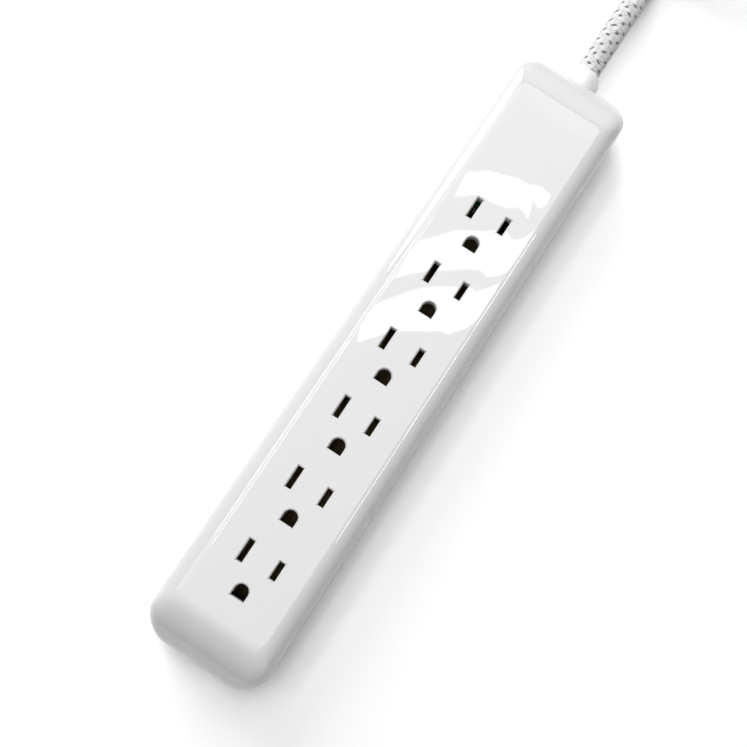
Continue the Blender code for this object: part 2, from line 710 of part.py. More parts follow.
def inner_wires():
    """Leads from the cord's end to the breaker and the bus bars."""
    routes = {
        "wire_hot_in": (
            "wire_black",
            [
                (0.0022, 0.1099, 0.0107),
                (0.0016, 0.1089, 0.0108),
                (-0.0022, 0.1074, 0.0138),
                (-0.0085, 0.1062, 0.0162),
                (-0.0092, 0.1042, 0.0172),
                (-0.0068, 0.1040, 0.0170),
                (-0.0038, 0.1040, 0.0170),
            ],
        ),
        "wire_hot_bus": (
            "wire_black",
            [
                (-0.0038, 0.0970, 0.0120),
                (-0.0062, 0.0968, 0.0120),
                (-0.0074, 0.0944, 0.0120),
                (-0.0050, 0.0920, 0.0122),
                (0.0040, 0.0917, 0.0126),
                (0.0130, 0.0905, 0.0130),
                (0.0172, 0.0850, 0.0130),
                (0.0174, 0.0740, 0.0126),
                (0.0140, 0.0670, 0.0116),
                (0.0086, 0.0655, 0.0106),
                (0.0066, 0.0628, 0.0104),
            ],
        ),
        "wire_neutral": (
            "wire_white",
            [
                (-0.0023, 0.1099, 0.0107),
                (-0.0044, 0.1086, 0.0094),
                (-0.0115, 0.1035, 0.0110),
                (-0.0175, 0.0960, 0.0120),
                (-0.0187, 0.0850, 0.0126),
                (-0.0182, 0.0740, 0.0124),
                (-0.0145, 0.0675, 0.0116),
                (-0.0086, 0.0655, 0.0106),
                (-0.0066, 0.0628, 0.0104),
            ],
        ),
        "wire_ground": (
            "wire_green",
            [
                (0.0000, 0.1099, 0.0152),
                (0.0000, 0.1084, 0.0160),
                (-0.0022, 0.1078, 0.0190),
                (-0.0085, 0.1078, 0.0206),
                (-0.0145, 0.1030, 0.0205),
                (-0.0182, 0.0950, 0.0195),
                (-0.0187, 0.0850, 0.0185),
                (-0.0182, 0.0740, 0.0175),
                (-0.0140, 0.0668, 0.0160),
                (-0.0075, 0.0655, 0.0148),
                (-0.0018, 0.0652, 0.0125),
                (0.0, 0.0650, 0.0095),
                (0.0, 0.0640, 0.0072),
            ],
        ),
    }
    for name, (material, route) in routes.items():
        tube_part(name, route, WIRE_RADIUS, material, 2.0 * WIRE_RADIUS)


# ---- Cord


def cord_boot():
    """The collar moulded on the cord, held in the end wall by a flange behind it."""
    profile = [
        (0, BOOT_END_Y),
        (CORD_RADIUS + 0.0003, BOOT_END_Y),
        (CORD_RADIUS + 0.0010, BOOT_END_Y - 0.0003),
        (CORD_RADIUS + 0.0018, BOOT_END_Y - 0.0014),
        (BOOT_RADIUS - 0.0004, BOOT_END_Y - 0.0034),
        (BOOT_RADIUS, BOOT_END_Y - 0.0060),
        (BOOT_RADIUS, 0.1230),
        (0.0086, 0.1228),
        (0.0086, 0.1200),
        (0.0062, 0.1198),
        (0.0060, JACKET_END_Y + GAP),
        (0, JACKET_END_Y + GAP),
    ]
    turned_part("cord_boot", profile, "boot", (0, 0, CORD_EXIT_HEIGHT), (-math.pi / 2, 0, 0))


def cord_anchor():
    """The end of the cord's jacket inside the housing, and the clamp that holds it."""
    length = JACKET_END_Y - JACKET_START_Y
    jacket = cylinder_mesh("cord_jacket_end", CORD_RADIUS, length)
    middle_y = (JACKET_START_Y + JACKET_END_Y) / 2
    place = (0, middle_y, CORD_EXIT_HEIGHT)
    add_part("cord_jacket_end", jacket, "braid", place, (math.pi / 2, 0, 0))
    lift = CLAMP_BOTTOM + CLAMP_SIZE[2] / 2
    clamp = add_part("cord_clamp", box_mesh("cord_clamp", CLAMP_SIZE), "carrier", (0, CLAMP_Y, lift))
    holes = []
    for number, side in enumerate((-1, 1), 1):
        place = (side * CLAMP_SCREW_X, CLAMP_Y)
        hole_bottom = CLAMP_BOTTOM - 0.001
        hole = post("clamp_hole", CLAMP_HOLE_RADIUS, hole_bottom, lift + 0.003, *place, SMALL_STEPS)
        holes.append(hole)
        profile = [
            (0, 0.0014),
            (0.0011, 0.0013),
            (0.0017, 0.0007),
            (0.0017, 0),
            (0.0009, 0),
            (0.0009, -0.0090),
            (0, -0.0090),
        ]
        head_z = CLAMP_BOTTOM + CLAMP_SIZE[2] + GAP
        turned_part(f"clamp_screw_{number}", profile, "steel", (*place, head_z), steps=SMALL_STEPS)
    combine(clamp, "DIFFERENCE", holes)


def lowering_route(start, end, lead):
    """Level for a lead, then down an even S-curve, then level for a short way into the end."""
    start = Vector(start)
    end = Vector(end)
    bend_start = start + Vector((0, lead, 0))
    bend_end = end - Vector((0, CORD_LEAD, 0))
    points = [start]
    for step in range(9):
        share = step / 8
        drop = 2 * share**2 if share < 0.5 else 1 - 2 * (1 - share) ** 2
        y = bend_start.y + (bend_end.y - bend_start.y) * share
        points.append(Vector((start.x, y, start.z + (end.z - start.z) * drop)))
    return [*points, end]


def cord_tubes():
    """The stretches of cord between the boot, the hank and the plug."""
    exit_point = (0, BOOT_END_Y + GAP, CORD_EXIT_HEIGHT)
    hank_start = (0, HANK_Y - HANK_EDGE - GAP, RUN_HEIGHT)
    hank_end = (0, HANK_Y + HANK_EDGE + GAP, LAST_RUN_HEIGHT)
    plug_start = (0, PLUG_Y - GAP, PLUG_HEIGHT)
    run = lowering_route(exit_point, hank_start, 2 * CORD_DIAMETER)
    tail = lowering_route(hank_end, plug_start, CORD_LEAD)
    tube_part("cord_run", run, CORD_RADIUS, "braid", CORD_DIAMETER / 2)
    tube_part("cord_tail", tail, CORD_RADIUS, "braid", CORD_DIAMETER / 2)


def hank_outline():
    """The outside of the stored cord seen from above: two round lobes joined by a narrow waist."""
    lean = math.atan2(LOBE_Y, CORD_RADIUS + WAIST_RADIUS)
    lobe = LOBE_RADIUS + CORD_RADIUS
    waist = WAIST_RADIUS - CORD_RADIUS
    waist_x = CORD_RADIUS + WAIST_RADIUS
    steps = 14
    outline = []
    for side in (1, -1):
        for step in range(steps + 1):
            angle = -lean + (math.pi + 2 * lean) * step / steps
            outline.append((side * lobe * math.cos(angle), side * (LOBE_Y + lobe * math.sin(angle))))
        for step in range(1, 8):
            angle = lean - 2 * lean * step / 8
            x = -side * (waist_x - waist * math.cos(angle))
            outline.append((x, side * waist * math.sin(angle)))
    return outline


def cord_hank():
    height = 2 * HANK_LAYERS * CORD_RADIUS
    curve = prism_curve("cord_hank", hank_outline(), height)
    add_part("cord_hank", curve, "braid", (HANK_X, HANK_Y, HANK_BOTTOM + height / 2))


def hank_tie():
    """A flat tie round the hank's waist."""
    half_width = 2 * CORD_RADIUS + GAP
    half_height = HANK_LAYERS * CORD_RADIUS + GAP
    middle = HANK_BOTTOM + HANK_LAYERS * CORD_RADIUS
    wide = half_width + TIE_THICKNESS
    tall = half_height + TIE_THICKNESS - 0.00005
    outer = rounded_rectangle(wide, tall, 0.0012)
    inner = rounded_rectangle(half_width, half_height, 0.0006)
    front = -TIE_WIDTH / 2
    back = TIE_WIDTH / 2
    build = bmesh.new()
    loops = []
    for outline, y in ((outer, front), (outer, back), (inner, back), (inner, front)):
        loops.append([build.verts.new((x, y, z)) for x, z in outline])
    for loop, following in zip(loops, loops[1:] + loops[:1]):
        for i, corner in enumerate(loop):
            after = (i + 1) % len(loop)
            build.faces.new((corner, loop[after], following[after], following[i]))
    bmesh.ops.recalc_face_normals(build, faces=build.faces)
    add_part("hank_tie", mesh_from(build, "hank_tie"), "tie", (HANK_X, HANK_Y, middle))


# ---- Plug


def plug_body():
    """A moulded plug lofted from a round strain relief to a rounded block with a flat face."""
    sections = [
        (0.0, 0.0058, 0.0058, 0.0057),
        (0.0130, 0.0070, 0.0070, 0.0069),
        (0.0160, 0.0078, 0.0076, 0.0070),
        (0.0210, 0.0112, 0.0108, 0.0075),
        (0.0260, 0.0126, 0.0122, 0.0070),
        (0.0320, PLUG_HALF_WIDTH, PLUG_HALF_HEIGHT, 0.0060),
        (PLUG_LENGTH - 0.0010, PLUG_HALF_WIDTH, PLUG_HALF_HEIGHT, 0.0060),
        (PLUG_LENGTH, PLUG_HALF_WIDTH - 0.0010, PLUG_HALF_HEIGHT - 0.0010, 0.0050),
    ]
    rings = []
    for y, half_width, half_height, corner in sections:
        outline = rounded_rectangle(half_width, half_height, corner)
        rings.append([(x, y, z) for x, z in outline])
    place = (0, PLUG_Y, PLUG_HEIGHT)
    add_part("plug_body", ring_solid("plug_body", rings), "boot", place)


def plug_contacts():
    face = PLUG_Y + PLUG_LENGTH + GAP
    for name, side in (("hot", 1), ("neutral", -1)):
        blade = box_mesh(f"plug_blade_{name}", BLADE_SIZE)
        place = (side * BLADE_SPACING / 2, face + BLADE_SIZE[1] / 2, BLADE_ROW_HEIGHT)
        part = add_part(f"plug_blade_{name}", blade, "brass", place)
        bevel = part.modifiers.new("Bevel", "BEVEL")
        bevel.width = 0.0003
        bevel.segments = 1
    profile = [
        (0, PIN_LENGTH),
        (PIN_RADIUS * 0.6, PIN_LENGTH - 0.0003),
        (PIN_RADIUS * 0.92, PIN_LENGTH - 0.0012),
        (PIN_RADIUS, PIN_LENGTH - 0.0024),
        (PIN_RADIUS, 0),
        (0, 0),
    ]
    place = (0, face, BLADE_ROW_HEIGHT - GROUND_OFFSET)
    turned_part("plug_ground_pin", profile, "brass", place, (-math.pi / 2, 0, 0), SMALL_STEPS)


clear_scene()
PARTS = make_collection("power_strip")
CUTTERS = make_collection("cutters")
LOOKS = make_materials()

top_cover()
bottom_cover()
rating_label()
housing_screws()
contact_carrier()
bus_bars()
surge_board()
breaker()
reset_button()
inner_wires()
cord_boot()
cord_anchor()
cord_tubes()
cord_hank()
hank_tie()
plug_body()
plug_contacts()
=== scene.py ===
"""Looks for a slim white power strip with a braided cord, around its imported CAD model.

Lengths are in metres, in the CAD frame: +Z up, +Y along the strip towards its cord.
"""

import json
import math

import bmesh
import bpy
from mathutils import Matrix, Vector


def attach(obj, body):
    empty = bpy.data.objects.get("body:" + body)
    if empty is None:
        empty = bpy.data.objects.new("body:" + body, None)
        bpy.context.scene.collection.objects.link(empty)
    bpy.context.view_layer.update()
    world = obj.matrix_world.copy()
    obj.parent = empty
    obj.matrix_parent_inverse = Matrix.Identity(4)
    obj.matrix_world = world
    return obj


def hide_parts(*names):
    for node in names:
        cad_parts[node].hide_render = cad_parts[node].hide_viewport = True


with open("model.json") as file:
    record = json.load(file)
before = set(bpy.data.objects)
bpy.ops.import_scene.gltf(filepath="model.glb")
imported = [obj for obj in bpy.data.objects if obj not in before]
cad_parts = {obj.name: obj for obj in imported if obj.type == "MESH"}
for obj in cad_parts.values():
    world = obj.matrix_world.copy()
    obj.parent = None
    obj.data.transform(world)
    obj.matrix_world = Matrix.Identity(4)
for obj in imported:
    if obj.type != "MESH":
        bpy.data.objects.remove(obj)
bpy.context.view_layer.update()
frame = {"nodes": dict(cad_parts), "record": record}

# Housing, as in the CAD model apart from its lid, which is thicker to deepen the hole walls
BODY_LENGTH = 0.2605
BODY_WIDTH = 0.0468
BODY_HEIGHT = 0.028
WALL = 0.0022
SPLIT_HEIGHT = 0.012
SIDE_ROUND_RUN = 0.0070
SIDE_ROUND_DROP = 0.0060
END_ROUND_RUN = 0.0205
END_ROUND_DROP = 0.0186
BASE_ROUND = 0.0015
CORNER_AT_TOP = 0.003
CORNER_AT_BASE = 0.012
TONGUE_HEIGHT = 0.0018
TONGUE_INSET = 0.0013
SKIRT_INSET = 0.0010
TRAY_THICKNESS = 0.0024
LID_THICKNESS = 0.0030
GAP = 0.0003
CUT_PAST = 0.001

# Fasteners, keyholes and label
SCREW_X = 0.0163
SCREW_ROWS_Y = (-0.112, 0.0, 0.112)
SCREW_HEAD_RADIUS = 0.0029
SCREW_SHANK_RADIUS = 0.0014
SCREW_SEAT_HEIGHT = 0.0050
SCREW_TIP_HEIGHT = 0.0180
BOSS_RADIUS = 0.0032
BOSS_BOTTOM = SPLIT_HEIGHT - 0.0007
BOSS_HOLE_TOP = SCREW_TIP_HEIGHT + 0.002
WELL_RADIUS = 0.0044
WELL_TOP = SPLIT_HEIGHT - 0.001
WELL_BORE_RADIUS = SCREW_HEAD_RADIUS + 0.0004
KEYHOLE_YS = (-0.118, 0.092)
KEYHOLE_HEAD_RADIUS = 0.0042
KEYHOLE_SLOT_RADIUS = 0.0023
KEYHOLE_SLOT_LENGTH = 0.0080
KEYHOLE_CUT_TOP = 0.004
LABEL_RECESS = (0.0292, 0.0912, 0.0006)
BUTTON_Y = 0.1005
BUTTON_FACE_X = 0.0232
BUTTON_RADIUS = 0.0031
BUTTON_LENGTH = 0.0102
BUTTON_DISH = 0.00035
BUTTON_EDGE_SHARE = 0.28
BUTTON_EDGE_DROP = 0.0008
BUTTON_HOLE_RADIUS = 0.0048
BOOT_HOLE_RADIUS = 0.0077

# Outlets
OUTLETS = 6
OUTLET_PITCH = 0.0290
OUTLET_MIDDLE_Y = -0.01465
BLADE_SPACING = 0.0127
GROUND_OFFSET = 0.0119
SLOT_WIDTH = 0.0022
NEUTRAL_SLOT_LENGTH = 0.0083
HOT_SLOT_LENGTH = 0.0067
GROUND_HOLE_RADIUS = 0.0026
SLOT_CHAMFER = 0.00045

# Cord, hank and plug
CORD_DIAMETER = 0.0096
CORD_RADIUS = CORD_DIAMETER / 2
CORD_LEAD = 0.0035
CORD_INSIDE_BOOT = 0.006
CORD_INSIDE_PLUG = 0.002
CORD_EXIT_HEIGHT = 0.012
BOOT_END_Y = 0.1373
BOOT_RADIUS = 0.0074
BOOT_FLANGE_Y = 0.1230
BOOT_LIP_SETBACK = 0.0013
BOOT_SHOULDER_DROP = 0.0024
BOOT_SHOULDER_LENGTH = 0.0040
HANK_X = -CORD_RADIUS
HANK_Y = 0.3060
LOBE_RADIUS = 0.030
WAIST_RADIUS = 0.060
HANK_LAYERS = 3
CLIMB_START = 0.55
CLIMB_SHARE = 0.20
TIE_THICKNESS = 0.0006
TIE_WIDTH = 0.0040
TIE_CORNER = 0.0006
HANK_BOTTOM = TIE_THICKNESS + GAP
RUN_HEIGHT = HANK_BOTTOM + CORD_RADIUS
LAST_RUN_HEIGHT = RUN_HEIGHT + (HANK_LAYERS - 1) * CORD_DIAMETER
LOBE_Y = math.sqrt((LOBE_RADIUS + WAIST_RADIUS) ** 2 - (CORD_RADIUS + WAIST_RADIUS) ** 2)
HANK_EDGE = LOBE_Y + LOBE_RADIUS + CORD_RADIUS
TAIL_SPAN = 0.0490
PLUG_Y = HANK_Y + HANK_EDGE + TAIL_SPAN
PLUG_HEIGHT = 0.0127
PLUG_LENGTH = 0.0480
PLUG_HALF_WIDTH = 0.0130
PLUG_HALF_HEIGHT = 0.0126
PLUG_CORNER = 0.0060
PLUG_EDGE = 0.0010
RELIEF_END = 0.0130
RELIEF_GROOVES = 5
GRIP_NOTCHES = 5
GRIP_NOTCH_PITCH = 0.0022
BLADE_SIZE = (0.0015, 0.0160, 0.00635)
BLADE_ROW_HEIGHT = PLUG_HEIGHT + 0.0050
BLADE_FACE_Y = PLUG_Y + PLUG_LENGTH + GAP
BLADE_TIP_CHAMFER = 0.0007
BLADE_HOLE_RADIUS = 0.0016
BLADE_HOLE_FROM_TIP = 0.0042
PIN_RADIUS = 0.0024
PIN_LENGTH = 0.0180
PIN_DOME = 0.0020

# Braid
BRAID_PITCH = 0.0049
BRAID_YARNS = 5
BRAID_VALLEY = 0.965
BRAID_HUMP = 0.055
CORD_SIDES = 40
RINGS_PER_PITCH = 8

# Finish
HOUSING_GREY = 0.61
FLOOR_GREY = 0.98
BRAID_GREY = 0.74
STRAND_GREY = 0.16
SPECK_GREY = 0.10

# Camera
CAMERA_PLACE = Vector((0.00854, -0.05467, 0.29639))
CAMERA_AIM = Vector((-0.0036, -0.01335, 0.028))
CAMERA_UP = Vector((-0.54834, 0.82245, 0.15132))
CAMERA_LENS = 37.59

# Stage and light
WORLD_STRENGTH = 0.01
BACKDROP_STRENGTH = 0.85
FLOOR_RADIUS = 1.4
CEILING = 1.5
KEY_ABOVE_PANES = 0.05
KEY_RADIANCE = 2.8
KEY_X = -0.465
KEY_WIDTH = 1.17
PANE_RADIANCE = 6.5
SOFTBOX_DISTANCE = 1.5


# ---- Camera and stage


def add_camera():
    data = bpy.data.cameras.new("camera")
    data.lens = CAMERA_LENS
    data.sensor_width = 36.0
    data.clip_start = 0.01
    camera = bpy.data.objects.new("camera", data)
    back = (CAMERA_PLACE - CAMERA_AIM).normalized()
    right = CAMERA_UP.cross(back).normalized()
    up = back.cross(right)
    turn = Matrix((right, up, back)).transposed().to_4x4()
    camera.matrix_world = Matrix.Translation(CAMERA_PLACE) @ turn
    bpy.context.collection.objects.link(camera)
    bpy.context.scene.camera = camera


def add_area(name, place, aim, size, power):
    data = bpy.data.lights.new(name, "AREA")
    data.shape = "RECTANGLE"
    data.size, data.size_y = size
    data.energy = power
    light = bpy.data.objects.new(name, data)
    light.location = place
    light.rotation_euler = (Vector(aim) - Vector(place)).to_track_quat("-Z", "Y").to_euler()
    bpy.context.collection.objects.link(light)
    return light


# ---- Materials


class Nodes:
    """A material with a Principled shader, and short calls to add and join its nodes."""

    def __init__(self, name, colour, roughness, metallic=0.0):
        self.material = bpy.data.materials.new(name)
        self.material.use_nodes = True
        self.tree = self.material.node_tree
        self.shader = self.tree.nodes["Principled BSDF"]
        self.shader.inputs["Base Color"].default_value = (*colour, 1)
        self.shader.inputs["Roughness"].default_value = roughness
        self.shader.inputs["Metallic"].default_value = metallic

    def add(self, kind, inputs=(), **settings):
        node = self.tree.nodes.new("ShaderNode" + kind)
        for key, value in settings.items():
            setattr(node, key, value)
        for key, value in dict(inputs).items():
            if isinstance(value, bpy.types.NodeSocket):
                self.tree.links.new(value, node.inputs[key])
            else:
                node.inputs[key].default_value = value
        return node

    def math(self, operation, first, second=0.0, third=0.0):
        node = self.add("Math", {0: first, 1: second, 2: third}, operation=operation)
        return node.outputs[0]

    def noise(self, scale, detail=3.0, vector=None):
        place = vector or self.add("TexCoord").outputs["Object"]
        node = self.add("TexNoise", {"Vector": place, "Scale": scale, "Detail": detail})
        return node.outputs["Fac"]

    def ramp(self, value, low, high, from_low=0.0, from_high=1.0):
        """The value moved in proportion from one range to another, and held at its ends."""
        ends = {"From Min": from_low, "From Max": from_high, "To Min": low, "To Max": high}
        return self.add("MapRange", {"Value": value, **ends}).outputs[0]

    def mix(self, share, first, second):
        node = self.add("Mix", {0: share, 6: first, 7: second}, data_type="RGBA")
        return node.outputs[2]

    def set(self, name, value):
        self.tree.links.new(value, self.shader.inputs[name])

    def bump(self, height, distance, strength=1.0):
        node = self.add("Bump", {"Height": height, "Distance": distance, "Strength": strength})
        self.set("Normal", node.outputs[0])


def grey(level):
    return (level, level, level, 1)


def plastic(name, colour, roughness, grain=900.0, grain_depth=0.00002):
    """Moulded plastic with slight mottling, uneven gloss and a fine skin."""
    nodes = Nodes(name, colour, roughness)
    dark = tuple(channel * 0.97 for channel in colour)
    nodes.set("Base Color", nodes.mix(nodes.noise(60.0), (*dark, 1), (*colour, 1)))
    nodes.set("Roughness", nodes.ramp(nodes.noise(140.0), roughness * 0.8, roughness * 1.25))
    nodes.bump(nodes.noise(grain, 2.0), grain_depth)
    return nodes.material


def metal(name, colour, roughness):
    """Metal with fine drawn lines."""
    nodes = Nodes(name, colour, roughness, 1.0)
    place = nodes.add("TexCoord").outputs["Object"]
    stretch = nodes.add("Mapping", {"Vector": place, "Scale": (1.0, 0.08, 1.0)}).outputs[0]
    brushed = nodes.noise(2500.0, 4.0, stretch)
    nodes.set("Roughness", nodes.ramp(brushed, roughness * 0.7, roughness * 1.4))
    nodes.bump(nodes.noise(1800.0, 3.0, stretch), 0.00001)
    return nodes.material


def tie_fabric():
    """Dark woven hook-and-loop tape."""
    nodes = Nodes("tie_fabric", (0.03, 0.03, 0.03), 0.9)
    place = nodes.add("TexCoord").outputs["Object"]
    weave = nodes.add("TexWave", {"Vector": place, "Scale": 900.0, "Distortion": 1.5}).outputs["Fac"]
    fuzz = nodes.noise(3000.0, 4.0)
    nodes.set("Base Color", nodes.mix(fuzz, grey(0.015), grey(0.06)))
    nodes.bump(nodes.math("ADD", weave, fuzz), 0.0001)
    return nodes.material


def label_paper():
    """Coated paper with faint fibres."""
    nodes = Nodes("label_paper", (0.70, 0.70, 0.71), 0.45)
    fibres = nodes.noise(400.0, 5.0)
    nodes.set("Base Color", nodes.mix(fibres, (0.66, 0.66, 0.67, 1), (0.73, 0.73, 0.74, 1)))
    nodes.bump(nodes.noise(1500.0, 4.0), 0.00001)
    return nodes.material


def yarn_place(nodes):
    """The braid's UV map, shifted a little by noise so that no two yarns run quite alike."""
    place = nodes.add("UVMap", uv_map="braid").outputs[0]
    wobble = nodes.add("TexNoise", {"Vector": place, "Scale": 6.0, "Detail": 3.0}).outputs["Color"]
    shift = nodes.add("VectorMath", {0: wobble, 1: (0.5, 0.5, 0.5)}, operation="SUBTRACT").outputs[0]
    shift = nodes.add("VectorMath", {0: shift, "Scale": 0.14}, operation="SCALE").outputs[0]
    return nodes.add("VectorMath", {0: place, 1: shift}, operation="ADD").outputs[0]


def grey_specks(nodes, right_gap, left_gap):
    """1 at the round spots where grey yarn shows, which is where helices of both hands cross."""
    right_square = nodes.math("POWER", right_gap, 2.0)
    square = nodes.math("ADD", right_square, nodes.math("POWER", left_gap, 2.0))
    return nodes.ramp(nodes.math("SQRT", square), 1.0, 0.0, 0.12, 0.24)


def yarn_threads(nodes, right, left, on_right):
    """Fine threads that run along whichever yarn lies on top."""
    threads_right = nodes.math("PINGPONG", nodes.math("MULTIPLY", right, 7.0), 0.5)
    threads_left = nodes.math("PINGPONG", nodes.math("MULTIPLY", left, 7.0), 0.5)
    shares = {0: on_right, 2: threads_left, 3: threads_right}
    return nodes.add("Mix", shares, data_type="FLOAT").outputs[0]


def braid():
    """White yarn braided round the cord, with grey yarn that shows where its helices cross, and painted
    shade in the creases and between the fine threads.
    """
    nodes = Nodes("braid", (0.6, 0.6, 0.6), 0.95)
    place = yarn_place(nodes)
    parts = nodes.add("SeparateXYZ", {0: place})
    around = nodes.math("MULTIPLY", parts.outputs[0], BRAID_YARNS)
    right = nodes.math("ADD", around, parts.outputs[1])
    left = nodes.math("SUBTRACT", around, parts.outputs[1])
    right_gap = nodes.math("PINGPONG", right, 0.5)
    left_gap = nodes.math("PINGPONG", left, 0.5)
    specks = grey_specks(nodes, right_gap, left_gap)
    fuzz = nodes.noise(14.0, 5.0, place)
    strand = nodes.ramp(right_gap, 1.0, 0.0, 0.03, 0.13)
    strand = nodes.math("MULTIPLY", strand, nodes.ramp(fuzz, 0.0, 1.0, 0.42, 0.62))
    threads = yarn_threads(nodes, right, left, nodes.math("LESS_THAN", right_gap, left_gap))
    crease = nodes.math("ABSOLUTE", nodes.math("SUBTRACT", right_gap, left_gap))
    crease = nodes.ramp(crease, 1.0, 0.0, 0.0, 0.10)
    # painted shade: darker in the grooves between the fine threads
    shade_between_threads = nodes.ramp(threads, 0.5, 0.0, 0.0, 0.25)
    colour = nodes.mix(shade_between_threads, grey(BRAID_GREY), grey(BRAID_GREY * 0.55))
    # painted shade: darker in the creases where one yarn dips under the other
    colour = nodes.mix(nodes.math("MULTIPLY", crease, 0.45), colour, grey(BRAID_GREY * 0.45))
    colour = nodes.mix(nodes.math("MULTIPLY", strand, 0.75), colour, grey(STRAND_GREY))
    colour = nodes.mix(nodes.math("MULTIPLY", specks, 0.92), colour, grey(SPECK_GREY))
    nodes.set("Base Color", colour)
    height = nodes.math("MULTIPLY", threads, 0.5)
    height = nodes.math("SUBTRACT", height, nodes.math("MULTIPLY", crease, 0.5))
    height = nodes.math("ADD", height, nodes.math("MULTIPLY", fuzz, 0.6))
    nodes.bump(height, 0.0004, 0.9)
    return nodes.material


def housing_plastic():
    """Gloss-white moulding whose skin is very slightly wavy, so that reflections have uneven edges."""
    nodes = Nodes("housing_plastic", (HOUSING_GREY,) * 3, 0.06)
    cloud = nodes.noise(45.0)
    nodes.set("Base Color", nodes.mix(cloud, grey(HOUSING_GREY * 0.985), grey(HOUSING_GREY * 1.01)))
    nodes.set("Roughness", nodes.ramp(nodes.noise(160.0), 0.015, 0.035))
    waves = nodes.noise(55.0, 1.0)
    grain = nodes.math("MULTIPLY", nodes.noise(2200.0, 2.0), 0.006)
    nodes.bump(nodes.math("ADD", waves, grain), 0.00003)
    return nodes.material


def base_plastic():
    """The tray's white: a finer matt texture than the gloss lid."""
    return plastic("base_plastic", (0.70, 0.70, 0.70), 0.32, 1400.0, 0.00003)


def inside_painted_shade():
    """Near-black painted shade on the unpolished mould face inside the shells."""
    return plastic("inside_painted_shade", (0.035, 0.035, 0.035), 0.7)


def floor_material():
    """Matt pale paper."""
    nodes = Nodes("floor", (FLOOR_GREY,) * 3, 0.9)
    nodes.set("Base Color", nodes.mix(nodes.noise(8.0), grey(FLOOR_GREY - 0.01), grey(FLOOR_GREY)))
    nodes.shader.inputs["Specular IOR Level"].default_value = 0.2
    return nodes.material


# ---- Meshes


def add_piece(name, mesh, material, body="strip", replaces=()):
    mesh.materials.append(material)
    piece = bpy.data.objects.new(name, mesh)
    bpy.context.collection.objects.link(piece)
    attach(piece, body)
    if replaces:
        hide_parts(*replaces)
    return piece


def mesh_from(build, name):
    mesh = bpy.data.meshes.new(name)
    build.to_mesh(mesh)
    build.free()
    return mesh


def smooth(mesh, sharp_degrees=30):
    mesh.shade_smooth()
    mesh.set_sharp_from_angle(angle=math.radians(sharp_degrees))


def ring_solid(name, rings):
    """A closed mesh through rings of equal point count, with a cap on the first and the last ring."""
    build = bmesh.new()
    rows = [[build.verts.new(point) for point in ring] for ring in rings]
    for row, following in zip(rows, rows[1:]):
        for i, corner in enumerate(row):
            after = (i + 1) % len(row)
            build.faces.new((corner, row[after], following[after], following[i]))
    build.faces.new(rows[0])
    build.faces.new(rows[-1])
    bmesh.ops.recalc_face_normals(build, faces=build.faces)
    mesh = mesh_from(build, name)
    smooth(mesh)
    return mesh


def turned_mesh(name, profile, steps=64):
    """A profile of (radius, height) points turned about Z, with a flat cap at each end."""
    angles = [2 * math.pi * step / steps for step in range(steps)]
    rings = []
    for radius, height in profile:
        rings.append([(radius * math.cos(a), radius * math.sin(a), height) for a in angles])
    return ring_solid(name, rings)


def rounded_rectangle(half_width, half_length, radius, steps=14):
    points = []
    for corner, (x_side, y_side) in enumerate(((1, 1), (-1, 1), (-1, -1), (1, -1))):
        for step in range(steps + 1):
            angle = (corner + step / steps) * math.pi / 2
            x = x_side * (half_width - radius) + radius * math.cos(angle)
            y = y_side * (half_length - radius) + radius * math.sin(angle)
            points.append((x, y))
    return points


def combine(piece, operation, tools):
    """Joins the tools to the piece or cuts them from it, and takes them out of the scene."""
    group = bpy.data.collections.new(piece.name + "_tools")
    for tool in tools:
        group.objects.link(tool)
    boolean = piece.modifiers.new("combine", "BOOLEAN")
    boolean.operation = operation
    boolean.operand_type = "COLLECTION"
    boolean.collection = group
    graph = bpy.context.evaluated_depsgraph_get()
    mesh = bpy.data.meshes.new_from_object(piece.evaluated_get(graph))
    piece.modifiers.clear()
    piece.data = mesh
    for tool in tools:
        bpy.data.objects.remove(tool)
    smooth(mesh)


def add_tool(name, mesh, place=(0, 0, 0)):
    tool = bpy.data.objects.new(name, mesh)
    tool.location = place
    return tool


def post(name, radius, bottom, top, x, y, steps=48):
    """An upright cylinder tool."""
    return add_tool(name, turned_mesh(name, [(radius, bottom), (radius, top)], steps), (x, y, 0))


def box(name, size, place):
    build = bmesh.new()
    bmesh.ops.create_cube(build, size=1.0)
    bmesh.ops.scale(build, vec=size, verts=build.verts)
    return add_tool(name, mesh_from(build, name), place)


# ---- Housing


def round_over(depth, run, drop, offset):
    """How far in from the side the skin is at a depth below the top, on an elliptical round-over."""
    if depth >= drop - offset:
        return offset
    rise = 1 - depth / (drop - offset)
    return run - (run - offset) * math.sqrt(1 - rise**2)


def outer_size(height, offset=0.0):
    """Half width, half length and corner radius of the skin at a height, moved in by an offset."""
    depth = max(BODY_HEIGHT - offset - height, 0.0)
    half_width = BODY_WIDTH / 2 - round_over(depth, SIDE_ROUND_RUN, SIDE_ROUND_DROP, offset)
    half_length = BODY_LENGTH / 2 - round_over(depth, END_ROUND_RUN, END_ROUND_DROP, offset)
    share = math.sin(min((BODY_HEIGHT - height) / END_ROUND_DROP, 1.0) * math.pi / 2)
    corner = CORNER_AT_TOP + (CORNER_AT_BASE - CORNER_AT_TOP) * share
    return half_width, half_length, max(corner - offset, 0.001)


def skin_ring(height, offset=0.0, inset=0.0):
    """The housing's outline at a height. The offset follows its rounded edge and the inset is level."""
    half_width, half_length, corner = outer_size(height, offset)
    corner = max(corner - inset, 0.001)
    outline = rounded_rectangle(half_width - inset, half_length - inset, corner)
    return [(x, y, height) for x, y in outline]


def depths_down(drop, angles):
    """Depths below the top, at angles down a rounded edge."""
    return [drop * (1 - math.cos(math.radians(angle))) for angle in angles]


